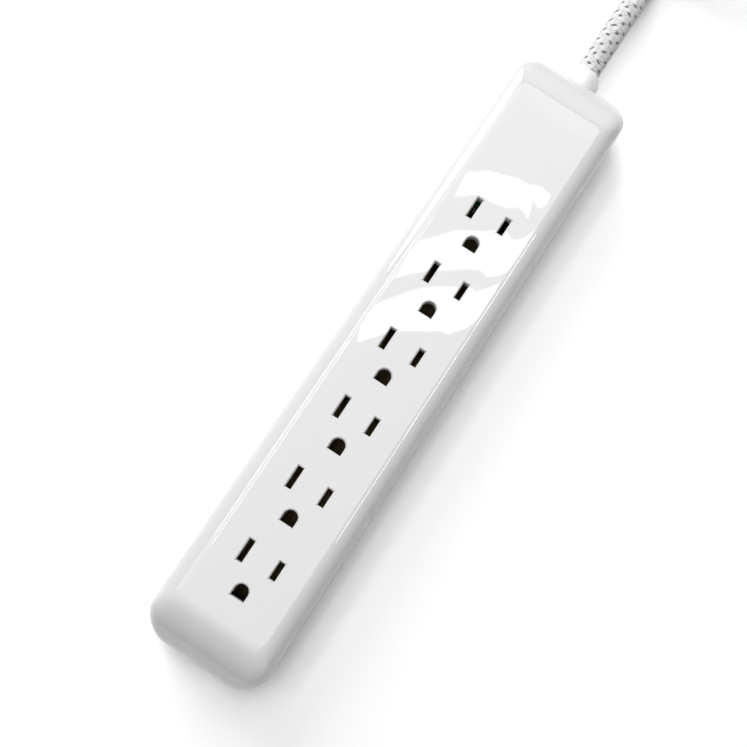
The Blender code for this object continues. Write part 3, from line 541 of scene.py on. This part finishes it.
def skin_heights(offset, lowest, highest=BODY_HEIGHT):
    """Heights down the rounded edge, from the highest wanted to the lowest."""
    depths = depths_down(SIDE_ROUND_DROP - offset, range(0, 90, 4))
    depths += depths_down(END_ROUND_DROP - offset, range(44, 88, 3))
    heights = [BODY_HEIGHT - offset - depth for depth in sorted(depths)]
    return [height for height in heights if lowest + GAP < height <= highest] + [lowest]


def outlet_ys():
    """Where the blade slots of each outlet are along the strip."""
    return [OUTLET_MIDDLE_Y + (i - (OUTLETS - 1) / 2) * OUTLET_PITCH for i in range(OUTLETS)]


def slot_outline(length):
    x = SLOT_WIDTH / 2
    y = length / 2
    return [(x, y), (-x, y), (-x, -y), (x, -y)]


def ground_outline():
    """A half circle towards the blade slots, with straight sides away from them."""
    radius = GROUND_HOLE_RADIUS
    angles = [math.pi * step / 20 for step in range(21)]
    outline = [(radius * math.cos(angle), radius * math.sin(angle)) for angle in angles]
    return outline + [(-radius, -radius), (radius, -radius)]


def grown(outline, amount):
    """The outline moved out by an amount, corners kept square."""
    count = len(outline)
    moved = []
    for i, point in enumerate(outline):
        here = Vector(point)
        before = (here - Vector(outline[i - 1])).normalized()
        after = (Vector(outline[(i + 1) % count]) - here).normalized()
        out_before = Vector((before.y, -before.x))
        out_after = Vector((after.y, -after.x))
        both = (out_before + out_after).normalized()
        moved.append(here + both * amount / max(both.dot(out_after), 0.5))
    return moved


def outlet_cutter(outline, x, y):
    """A tool that cuts one hole with a chamfered lip."""
    above = 0.0008
    levels = (
        (BODY_HEIGHT + above, SLOT_CHAMFER + above),
        (BODY_HEIGHT - SLOT_CHAMFER, 0.0),
        (BODY_HEIGHT - 2 * WALL, 0.0),
    )
    rings = [[(*point, height) for point in grown(outline, growth)] for height, growth in levels]
    return add_tool("hole", ring_solid("hole", rings), (x, y, 0))


def boot_cutter():
    mesh = turned_mesh("boot_hole", [(BOOT_HOLE_RADIUS, -0.010), (BOOT_HOLE_RADIUS, 0.010)])
    mesh.transform(Matrix.Rotation(math.pi / 2, 4, "X"))
    return add_tool("boot_hole", mesh, (0, BODY_LENGTH / 2, CORD_EXIT_HEIGHT))


def button_cutter():
    mesh = turned_mesh("button_hole", [(BUTTON_HOLE_RADIUS, -0.005), (BUTTON_HOLE_RADIUS, 0.005)])
    mesh.transform(Matrix.Rotation(math.pi / 2, 4, "Y"))
    return add_tool("button_hole", mesh, (BODY_WIDTH / 2, BUTTON_Y, SPLIT_HEIGHT))


def screw_places():
    return [(side * SCREW_X, y) for y in SCREW_ROWS_Y for side in (-1, 1)]


def in_a_well(place):
    """True inside the bores that the screw heads sit in, which stay white and get no painted shade."""
    near = min(math.dist(place[:2], screw) for screw in screw_places())
    return near < WELL_RADIUS and place.z < SCREW_SEAT_HEIGHT


def paint_inside_shade(piece):
    """Gives the faces that look towards the middle of the housing a near-black painted shade, so that
    the holes look dark inside.
    """
    piece.data.materials.append(inside_painted_shade())
    reach = BODY_LENGTH / 2 - END_ROUND_RUN
    lowest = TRAY_THICKNESS * 0.9
    highest = BODY_HEIGHT - LID_THICKNESS * 0.9
    for face in piece.data.polygons:
        place = face.center
        core = Vector((0, min(max(place.y, -reach), reach), SPLIT_HEIGHT))
        looks_in = face.normal.dot(place - core) < 0
        # painted shade: faces inside the shells that look inwards get the near-black material
        if lowest < place.z < highest and looks_in and not in_a_well(place):
            face.material_index = 1


def top_cover():
    """The upper shell: a rounded lid with a rabbet inside its rim, screw bosses and outlet holes."""
    rim = SPLIT_HEIGHT + GAP
    rabbet = rim + TONGUE_HEIGHT
    rings = [skin_ring(height) for height in skin_heights(0.0, rim)]
    rings.append(skin_ring(rim, inset=SKIRT_INSET))
    rings.append(skin_ring(rabbet, inset=SKIRT_INSET))
    inner_heights = skin_heights(WALL, rabbet, BODY_HEIGHT - LID_THICKNESS)
    rings += [skin_ring(height, offset=WALL) for height in reversed(inner_heights)]
    mesh = ring_solid("housing_top", rings)
    piece = add_piece("housing_top", mesh, housing_plastic(), replaces=["top_cover"])
    bosses = []
    tools = [boot_cutter(), button_cutter()]
    boss_top = BODY_HEIGHT - LID_THICKNESS / 2
    for place in screw_places():
        bosses.append(post("boss", BOSS_RADIUS, BOSS_BOTTOM, boss_top, *place))
        tools.append(post("boss_hole", SCREW_SHANK_RADIUS + GAP, 0, BOSS_HOLE_TOP, *place))
    for y in outlet_ys():
        tools.append(outlet_cutter(slot_outline(NEUTRAL_SLOT_LENGTH), -BLADE_SPACING / 2, y))
        tools.append(outlet_cutter(slot_outline(HOT_SLOT_LENGTH), BLADE_SPACING / 2, y))
        tools.append(outlet_cutter(ground_outline(), 0, y - GROUND_OFFSET))
    combine(piece, "UNION", bosses)
    combine(piece, "DIFFERENCE", tools)
    paint_inside_shade(piece)


def keyhole_cutters():
    """A round head and a round-ended slot for each keyhole."""
    bottom = -CUT_PAST
    top = KEYHOLE_CUT_TOP
    size = (2 * KEYHOLE_SLOT_RADIUS, KEYHOLE_SLOT_LENGTH, top - bottom)
    cutters = []
    for y in KEYHOLE_YS:
        slot_middle = (0, y + KEYHOLE_SLOT_LENGTH / 2, (top + bottom) / 2)
        cutters.append(post("keyhole_head", KEYHOLE_HEAD_RADIUS, bottom, top, 0, y))
        cutters.append(box("keyhole_slot", size, slot_middle))
        end_y = y + KEYHOLE_SLOT_LENGTH
        cutters.append(post("keyhole_end", KEYHOLE_SLOT_RADIUS, bottom, top, 0, end_y))
    return cutters


def base_edge_rings():
    """Rings up the small round edge between the underside and the walls."""
    rings = []
    for angle in range(0, 91, 10):
        turn = math.radians(angle)
        height = BASE_ROUND * (1 - math.cos(turn))
        rings.append(skin_ring(height, inset=BASE_ROUND * (1 - math.sin(turn))))
    return rings


def bottom_cover():
    """The lower shell: a tray with a tongue round its rim, screw wells, keyholes and a label recess."""
    tongue_top = SPLIT_HEIGHT + TONGUE_HEIGHT
    rings = base_edge_rings()
    rings.append(skin_ring(SPLIT_HEIGHT))
    rings.append(skin_ring(SPLIT_HEIGHT, inset=TONGUE_INSET))
    rings.append(skin_ring(tongue_top, inset=TONGUE_INSET))
    rings.append(skin_ring(tongue_top, inset=WALL))
    rings.append(skin_ring(TRAY_THICKNESS, inset=WALL))
    mesh = ring_solid("housing_base", rings)
    piece = add_piece("housing_base", mesh, base_plastic(), replaces=["bottom_cover"])
    posts = []
    tools = keyhole_cutters() + [boot_cutter(), button_cutter()]
    for place in screw_places():
        posts.append(post("well", WELL_RADIUS, TRAY_THICKNESS / 2, WELL_TOP, *place))
        tools.append(post("well_hole", SCREW_SHANK_RADIUS + GAP, 0, WELL_TOP + CUT_PAST, *place))
        tools.append(post("well_bore", WELL_BORE_RADIUS, -CUT_PAST, SCREW_SEAT_HEIGHT, *place))
    width, length, depth = LABEL_RECESS
    tools.append(box("label_recess", (width, length, 2 * depth), (0, 0, 0)))
    combine(piece, "UNION", posts)
    combine(piece, "DIFFERENCE", tools)
    paint_inside_shade(piece)


def reset_button():
    """A push button with a dished face, on the breaker's axis."""
    edge = BUTTON_RADIUS * BUTTON_EDGE_SHARE
    profile = [(0.00001, -BUTTON_DISH)]
    for step in range(1, 9):
        share = step / 8
        profile.append(((BUTTON_RADIUS - edge) * share, -BUTTON_DISH * (1 - share**2)))
    for step in range(1, 7):
        angle = math.radians(15 * step)
        height = -BUTTON_EDGE_DROP * (1 - math.cos(angle))
        profile.append((BUTTON_RADIUS - edge * (1 - math.sin(angle)), height))
    profile.append((BUTTON_RADIUS, -BUTTON_LENGTH))
    mesh = turned_mesh("button", profile)
    place = Matrix.Translation((BUTTON_FACE_X, BUTTON_Y, SPLIT_HEIGHT))
    mesh.transform(place @ Matrix.Rotation(math.pi / 2, 4, "Y"))
    white = plastic("button_plastic", (0.72, 0.72, 0.72), 0.22)
    add_piece("button", mesh, white, body="reset_button", replaces=["reset_button"])


# ---- Cord


def arc(centre, radius, start, sweep, count):
    """Points round part of a circle, without its last one."""
    points = []
    for step in range(count):
        angle = math.radians(start + sweep * step / count)
        points.append(Vector(centre) + radius * Vector((math.cos(angle), math.sin(angle))))
    return points


def ease(share):
    """A smooth step from 0 to 1."""
    share = min(max(share, 0.0), 1.0)
    return share * share * (3 - 2 * share)


def hank_turn():
    """One turn of the hank in plan, from the waist towards the plug and back."""
    waist_x = CORD_RADIUS + WAIST_RADIUS
    lean = math.degrees(math.atan2(LOBE_Y, waist_x))
    turn = arc((-waist_x, 0), WAIST_RADIUS, 0, lean, 6)
    turn += arc((0, LOBE_Y), LOBE_RADIUS, 180 + lean, -180 - 2 * lean, 24)
    turn += arc((waist_x, 0), WAIST_RADIUS, 180 - lean, 2 * lean, 12)
    turn += arc((0, -LOBE_Y), LOBE_RADIUS, lean, -180 - 2 * lean, 24)
    turn += arc((-waist_x, 0), WAIST_RADIUS, -lean, lean, 6)
    return turn


def hank_turns():
    """The turns of the hank, each of which climbs one layer on its way back."""
    turn = hank_turn()
    points = []
    for layer in range(HANK_LAYERS - 1):
        for index, point in enumerate(turn):
            climb = ease((index / len(turn) - CLIMB_START) / CLIMB_SHARE)
            height = RUN_HEIGHT + (layer + climb) * CORD_DIAMETER
            points.append(Vector((HANK_X - point.x, HANK_Y + point.y, height)))
    return points


def cord_route():
    """The whole cord's middle line, from the boot through the hank to the plug."""
    start_y = BOOT_END_Y - CORD_INSIDE_BOOT
    near_edge = HANK_Y - HANK_EDGE
    far_edge = HANK_Y + HANK_EDGE
    bend_start = BOOT_END_Y + GAP + 2 * CORD_DIAMETER
    bend_end = near_edge - GAP - CORD_LEAD
    last_bend_start = far_edge + GAP + CORD_LEAD
    last_bend_end = PLUG_Y - GAP - CORD_LEAD
    step_y = HANK_EDGE / 8
    route = [Vector((0, start_y + 0.005 * i, CORD_EXIT_HEIGHT)) for i in range(5)]
    route += s_curve(bend_start, bend_end, CORD_EXIT_HEIGHT, RUN_HEIGHT)
    route += [Vector((0, near_edge + i * step_y, RUN_HEIGHT)) for i in range(8)]
    route += hank_turns()
    route += [Vector((0, HANK_Y + i * step_y, LAST_RUN_HEIGHT)) for i in range(9)]
    route += s_curve(last_bend_start, last_bend_end, LAST_RUN_HEIGHT, PLUG_HEIGHT)
    route.append(Vector((0, PLUG_Y + CORD_INSIDE_PLUG, PLUG_HEIGHT)))
    return route


def s_curve(start_y, end_y, start_z, end_z):
    """Points that change height in two equal bends."""
    points = []
    for step in range(9):
        share = step / 8
        bend = 2 * share**2 if share < 0.5 else 1 - 2 * (1 - share) ** 2
        y = start_y + (end_y - start_y) * share
        points.append(Vector((0, y, start_z + (end_z - start_z) * bend)))
    return points


def curve_through(route):
    """Close points on a smooth curve through the route, and how far along it each one is."""
    ends = [2 * route[0] - route[1], *route, 2 * route[-1] - route[-2]]
    points = []
    for before, start, end, after in zip(ends, ends[1:], ends[2:], ends[3:]):
        for step in range(8):
            t = step / 8
            cubic = 2 * start + (end - before) * t
            cubic += (2 * before - 5 * start + 4 * end - after) * t**2
            cubic += (3 * start - before - 3 * end + after) * t**3
            points.append(cubic / 2)
    points.append(route[-1])
    lengths = [0.0]
    for start, end in zip(points, points[1:]):
        lengths.append(lengths[-1] + (end - start).length)
    return points, lengths


def smooth_path(route, spacing):
    """Evenly spaced points on a smooth curve through the route."""
    points, lengths = curve_through(route)
    count = round(lengths[-1] / spacing)
    even = []
    place = 0
    for index in range(count + 1):
        wanted = lengths[-1] * index / count
        while place < len(points) - 2 and lengths[place + 1] < wanted:
            place += 1
        share = (wanted - lengths[place]) / (lengths[place + 1] - lengths[place])
        even.append(points[place].lerp(points[place + 1], share))
    return even


def braid_reach(share, along):
    """How far the braid's skin is from the cord's middle line, in cord radii."""
    right = BRAID_YARNS * share + along
    left = BRAID_YARNS * share - along
    hump = abs(math.sin(math.pi * right)) * abs(math.sin(math.pi * left))
    return BRAID_VALLEY + BRAID_HUMP * hump


def tube_rows(build, path, radius, sides, spacing):
    """Rings of vertices round the path, humped where yarns of the braid lie on top."""
    rows = []
    side = Vector((1, 0, 0))
    for index, place in enumerate(path):
        ahead = (path[min(index + 1, len(path) - 1)] - path[max(index - 1, 0)]).normalized()
        side = (side - ahead * side.dot(ahead)).normalized()
        up = side.cross(ahead)
        along = index * spacing / BRAID_PITCH
        row = []
        for step in range(sides):
            turn = 2 * math.pi * step / sides
            out = side * math.cos(turn) + up * math.sin(turn)
            row.append(build.verts.new(place + out * radius * braid_reach(step / sides, along)))
        rows.append(row)
    return rows


def tube_mesh(name, path, radius, sides, spacing):
    """A tube whose UV map counts turns round it and pitches of the braid along it."""
    build = bmesh.new()
    braid_map = build.loops.layers.uv.new("braid")
    rows = tube_rows(build, path, radius, sides, spacing)
    for index, (row, following) in enumerate(zip(rows, rows[1:])):
        for step in range(sides):
            after = (step + 1) % sides
            face = build.faces.new((row[step], row[after], following[after], following[step]))
            corners = ((step, index), (step + 1, index), (step + 1, index + 1), (step, index + 1))
            for loop, (turns, rings) in zip(face.loops, corners):
                loop[braid_map].uv = (turns / sides, rings * spacing / BRAID_PITCH)
    build.faces.new(rows[0])
    build.faces.new(rows[-1])
    bmesh.ops.recalc_face_normals(build, faces=build.faces)
    mesh = mesh_from(build, name)
    smooth(mesh, 60)
    return mesh


def cord_boot(material):
    """The collar round the cord. Its rounded lip stops a little short of the CAD node's end."""
    lip = BOOT_END_Y - BOOT_LIP_SETBACK
    shoulder_y = lip - 0.0001
    profile = [
        (CORD_RADIUS * 0.9, lip - 0.002),
        (CORD_RADIUS * 0.9, lip - 0.0004),
        (CORD_RADIUS + 0.0001, shoulder_y),
    ]
    for angle in range(0, 90, 10):
        turn = math.radians(angle)
        radius = BOOT_RADIUS - BOOT_SHOULDER_DROP * (1 - math.sin(turn))
        profile.append((radius, shoulder_y - BOOT_SHOULDER_LENGTH * (1 - math.cos(turn))))
    profile.append((BOOT_RADIUS, lip - 0.0055))
    profile.append((BOOT_RADIUS, BOOT_FLANGE_Y))
    profile.append((CORD_RADIUS, BOOT_FLANGE_Y - 0.0001))
    mesh = turned_mesh("boot", list(reversed(profile)))
    place = Matrix.Translation((0, 0, CORD_EXIT_HEIGHT))
    mesh.transform(place @ Matrix.Rotation(-math.pi / 2, 4, "X"))
    return add_piece("boot", mesh, material, replaces=["cord_boot"])


def hank_tie():
    """A flat band round the hank's waist."""
    half_width = CORD_DIAMETER + GAP
    half_height = HANK_LAYERS * CORD_RADIUS + GAP
    middle = HANK_BOTTOM + HANK_LAYERS * CORD_RADIUS
    end_y = TIE_WIDTH / 2
    edge = 0.00015
    outer = TIE_THICKNESS - 0.00005
    sections = (
        (TIE_THICKNESS - edge, -end_y),
        (outer, edge - end_y),
        (outer, end_y - edge),
        (TIE_THICKNESS - edge, end_y),
        (0.0, end_y),
        (0.0, -end_y),
    )
    build = bmesh.new()
    loops = []
    for growth, y in sections:
        radius = TIE_CORNER + growth
        outline = rounded_rectangle(half_width + growth, half_height + growth, radius)
        loops.append([build.verts.new((x, y, z)) for x, z in outline])
    for loop, following in zip(loops, loops[1:] + loops[:1]):
        for i, corner in enumerate(loop):
            after = (i + 1) % len(loop)
            build.faces.new((corner, loop[after], following[after], following[i]))
    bmesh.ops.recalc_face_normals(build, faces=build.faces)
    mesh = mesh_from(build, "tie")
    smooth(mesh)
    mesh.transform(Matrix.Translation((HANK_X, HANK_Y, middle)))
    return add_piece("tie", mesh, tie_fabric(), replaces=["hank_tie"])


def relief_sections():
    """The grooved strain relief, as (distance, half width, half height, corner radius) sections."""
    sections = [(0.0, 0.0056, 0.0056, 0.0055)]
    pitch = (RELIEF_END - 0.0020) / RELIEF_GROOVES
    for groove in range(RELIEF_GROOVES):
        start = 0.0014 + groove * pitch
        size = 0.0058 + 0.0012 * start / RELIEF_END
        for y, depth in ((0.0, 0.0), (0.0003, 0.0007), (0.0009, 0.0007), (0.0012, 0.0)):
            sections.append((start + y, size - depth, size - depth, size - depth - 0.0001))
    return sections


def block_sections():
    """The moulded block, from the strain relief's end to its rounded front edge."""
    stations = (
        (RELIEF_END, 0.0070, 0.0070, 0.0069),
        (0.0160, 0.0078, 0.0076, 0.0070),
        (0.0210, 0.0112, 0.0108, 0.0075),
        (0.0260, 0.0126, 0.0122, 0.0070),
        (0.0320, PLUG_HALF_WIDTH, PLUG_HALF_HEIGHT, PLUG_CORNER),
    )
    sections = []
    for start, end in zip(stations, stations[1:]):
        for step in range(4):
            sections.append([a + (b - a) * step / 4 for a, b in zip(start, end)])
    sections.append(stations[-1])
    for angle in range(0, 91, 15):
        turn = math.radians(angle)
        inset = PLUG_EDGE * (1 - math.cos(turn))
        y = PLUG_LENGTH - PLUG_EDGE + PLUG_EDGE * math.sin(turn)
        half_width = PLUG_HALF_WIDTH - inset
        sections.append((y, half_width, PLUG_HALF_HEIGHT - inset, PLUG_CORNER - inset))
    return sections


def plug_body(material):
    """A moulded plug: grooved strain relief, lofted into a rounded block with grip ribs."""
    rings = []
    for y, half_width, half_height, corner in relief_sections() + block_sections():
        rings.append([(x, y, z) for x, z in rounded_rectangle(half_width, half_height, corner)])
    mesh = ring_solid("plug", rings)
    mesh.transform(Matrix.Translation((0, PLUG_Y, PLUG_HEIGHT)))
    piece = add_piece("plug", mesh, material, replaces=["plug_body"])
    notches = []
    for side in (-1, 1):
        x = side * (PLUG_HALF_WIDTH + 0.0002)
        for step in range(GRIP_NOTCHES):
            y = PLUG_Y + 0.0330 + GRIP_NOTCH_PITCH * step
            notches.append(box("notch", (0.0012, 0.0009, 0.0120), (x, y, PLUG_HEIGHT)))
    combine(piece, "DIFFERENCE", notches)
    return piece


def blade_outline(length, width):
    """A blade seen from its flat side, with a chamfered tip."""
    half = width / 2
    shoulder = length - 2 * BLADE_TIP_CHAMFER
    tip = half - BLADE_TIP_CHAMFER
    lower = [(0, -half), (shoulder, -half), (length, -tip)]
    upper = [(y, -z) for y, z in reversed(lower)]
    return lower + upper


def plug_blade(name, side, material):
    """A flat blade with a hole near its tip."""
    thickness, length, width = BLADE_SIZE
    outline = blade_outline(length, width)
    edge = 0.0002
    face_x = thickness / 2
    rings = []
    for x, inset in ((-face_x, edge), (edge - face_x, 0), (face_x - edge, 0), (face_x, edge)):
        rings.append([(x, y, z) for y, z in grown(outline, -inset)])
    mesh = ring_solid(name, rings)
    place = Vector((side * BLADE_SPACING / 2, BLADE_FACE_Y, BLADE_ROW_HEIGHT))
    mesh.transform(Matrix.Translation(place))
    piece = add_piece(name, mesh, material, replaces=[f"plug_{name}"])
    hole = turned_mesh("hole", [(BLADE_HOLE_RADIUS, -0.002), (BLADE_HOLE_RADIUS, 0.002)], 40)
    hole.transform(Matrix.Rotation(math.pi / 2, 4, "Y"))
    hole_place = place + Vector((0, length - BLADE_HOLE_FROM_TIP, 0))
    combine(piece, "DIFFERENCE", [add_tool("hole", hole, hole_place)])
    return piece


def ground_pin(material):
    """A round pin with a domed tip."""
    straight = PIN_LENGTH - PIN_DOME
    profile = [(PIN_RADIUS, 0.0), (PIN_RADIUS, straight)]
    for step in range(1, 9):
        angle = math.radians(step * 11)
        profile.append((PIN_RADIUS * math.cos(angle), straight + PIN_DOME * math.sin(angle)))
    mesh = turned_mesh("ground_pin", profile, 48)
    turn = Matrix.Rotation(-math.pi / 2, 4, "X")
    place = (0, BLADE_FACE_Y, BLADE_ROW_HEIGHT - GROUND_OFFSET)
    mesh.transform(Matrix.Translation(place) @ turn)
    return add_piece("ground_pin", mesh, material, replaces=["plug_ground_pin"])


# ---- Carried-over CAD nodes


def node_looks():
    """The finish of each material slot on the CAD nodes that stay; the contacts and carrier seen
    through the slots are darkened as painted shade.
    """
    return {
        "braid": plastic("jacket_plastic", (0.6, 0.6, 0.6), 0.8),
        # painted shade: the brass contacts are near black so that the slots look dark inside
        "brass": metal("brass_painted_shade", (0.10, 0.075, 0.04), 0.55),
        "steel": metal("steel_metal", (0.7, 0.7, 0.72), 0.3),
        "fuse": metal("fuse_metal", (0.7, 0.7, 0.72), 0.35),
        # painted shade: the carrier under the slots is black so that the holes look dark
        "carrier": plastic("carrier_painted_shade", (0.02, 0.02, 0.02), 0.6),
        "board": plastic("board_laminate", (0.02, 0.12, 0.04), 0.4),
        "varistor": plastic("varistor_coating", (0.02, 0.06, 0.35), 0.3),
        "breaker": plastic("breaker_plastic", (0.02, 0.02, 0.02), 0.5),
        "label": label_paper(),
        "wire_black": plastic("wire_black_pvc", (0.02, 0.02, 0.02), 0.5),
        "wire_white": plastic("wire_white_pvc", (0.8, 0.8, 0.8), 0.5),
        "wire_green": plastic("wire_green_pvc", (0.02, 0.25, 0.05), 0.5),
    }


def finish_nodes(looks):
    for entry in frame["record"]["subparts"]:
        if entry["material_slot"] in looks:
            node = frame["nodes"][entry["node"]]
            node.data.materials.clear()
            node.data.materials.append(looks[entry["material_slot"]])


# ---- Stage and light


def add_floor():
    """A round sheet of pale paper under the strip."""
    build = bmesh.new()
    bmesh.ops.create_circle(build, cap_ends=True, segments=128, radius=FLOOR_RADIUS)
    mesh = mesh_from(build, "floor")
    mesh.materials.append(floor_material())
    floor = bpy.data.objects.new("floor", mesh)
    bpy.context.collection.objects.link(floor)


def add_world():
    """A faint even light, with a pale backdrop where the camera looks past the floor."""
    world = bpy.data.worlds.new("studio")
    world.use_nodes = True
    tree = world.node_tree
    background = tree.nodes["Background"]
    background.inputs["Color"].default_value = (1, 1, 1, 1)
    seen = tree.nodes.new("ShaderNodeLightPath").outputs["Is Camera Ray"]
    strength = tree.nodes.new("ShaderNodeMapRange")
    strength.inputs["To Min"].default_value = WORLD_STRENGTH
    strength.inputs["To Max"].default_value = BACKDROP_STRENGTH
    tree.links.new(seen, strength.inputs["Value"])
    tree.links.new(strength.outputs[0], background.inputs["Strength"])
    bpy.context.scene.world = world


def overhead_panel(name, start_y, end_y, radiance):
    """A wide level light just above the ceiling, so that the panes stay in front of it."""
    length = end_y - start_y
    middle = (KEY_X, (start_y + end_y) / 2, CEILING + KEY_ABOVE_PANES)
    power = radiance * math.pi * KEY_WIDTH * length
    panel = add_area(name, middle, (0, 0, 0), (KEY_WIDTH, length), power)
    panel.rotation_euler = (0, 0, 0)


def ceiling_panel(name, tilt_x, start_y, end_y, width, power):
    """A long narrow light along the strip, under the ceiling, at a tilt sideways from straight up."""
    x = CEILING * math.tan(math.radians(tilt_x))
    middle = (start_y + end_y) / 2
    panel = add_area(name, (x, middle, CEILING), (x, middle, 0), (width, end_y - start_y), power)
    panel.rotation_euler = (0, math.radians(tilt_x), 0)


def window_pane(name, x, y, length, width, turn):
    """A bright slanted pane overhead, which the flat top mirrors as a bright band."""
    power = PANE_RADIANCE * math.pi * length * width
    pane = add_area(name, (x, y, CEILING), (x, y, 0), (length, width), power)
    pane.rotation_euler = (0, 0, math.radians(turn))


def softbox(name, tilt, azimuth, half_angle, power):
    """A round soft light aimed at the strip from a tilt off straight up, towards an azimuth."""
    tilt = math.radians(tilt)
    azimuth = math.radians(azimuth)
    reach = SOFTBOX_DISTANCE * math.sin(tilt)
    height = SOFTBOX_DISTANCE * math.cos(tilt)
    place = (reach * math.cos(azimuth), reach * math.sin(azimuth), height)
    size = 2 * SOFTBOX_DISTANCE * math.tan(math.radians(half_angle))
    light = add_area(name, place, (0, 0, 0), (size, size), power)
    light.data.shape = "ELLIPSE"


def add_lights():
    """A key that fades out past the strip's free end, bright lines and panes, and low soft lights."""
    overhead_panel("key", start_y=-0.55, end_y=1.15, radiance=KEY_RADIANCE)
    overhead_panel("key_fade_1", start_y=-0.80, end_y=-0.55, radiance=0.67 * KEY_RADIANCE)
    overhead_panel("key_fade_2", start_y=-1.10, end_y=-0.80, radiance=0.33 * KEY_RADIANCE)
    ceiling_panel("line_near", tilt_x=-12.5, start_y=-0.30, end_y=0.60, width=0.05, power=1.5)
    ceiling_panel("line_far", tilt_x=-27.0, start_y=-0.30, end_y=0.60, width=0.06, power=1.6)
    ceiling_panel("line_right", tilt_x=16.0, start_y=-0.15, end_y=0.73, width=0.10, power=3.0)
    window_pane("pane_1", x=-0.043, y=0.410, length=0.380, width=0.097, turn=36.9)
    window_pane("pane_2", x=-0.043, y=0.579, length=0.380, width=0.094, turn=32.1)
    window_pane("pane_3", x=-0.076, y=0.752, length=0.200, width=0.076, turn=17.0)
    window_pane("pane_4", x=0.036, y=0.807, length=0.049, width=0.036, turn=17.0)
    softbox("fill_far", tilt=48, azimuth=90, half_angle=14, power=0.8)
    softbox("low_right", tilt=62, azimuth=45, half_angle=20, power=0.2)
    softbox("low_far", tilt=62, azimuth=90, half_angle=20, power=1.6)
    softbox("low_left", tilt=62, azimuth=142, half_angle=17, power=15.5)
    softbox("from_below", tilt=150, azimuth=200, half_angle=25, power=25.0)


add_camera()
soft_white = plastic("soft_white_plastic", (0.78, 0.78, 0.78), 0.35)
brass = metal("brass_metal", (0.80, 0.62, 0.28), 0.3)
spacing = BRAID_PITCH / RINGS_PER_PITCH
path = smooth_path(cord_route(), spacing)
cord_mesh = tube_mesh("cord", path, CORD_RADIUS, CORD_SIDES, spacing)
cord_nodes = ["cord_run", "cord_hank", "cord_tail"]
cord = add_piece("cord", cord_mesh, braid(), replaces=cord_nodes)
cord_boot(soft_white)
hank_tie()
plug_body(soft_white)
plug_blade("blade_hot", 1, brass)
plug_blade("blade_neutral", -1, brass)
ground_pin(brass)

top_cover()
bottom_cover()
reset_button()
finish_nodes(node_looks())
add_floor()
add_world()
add_lights()
bpy.context.scene.view_settings.view_transform = "Standard"
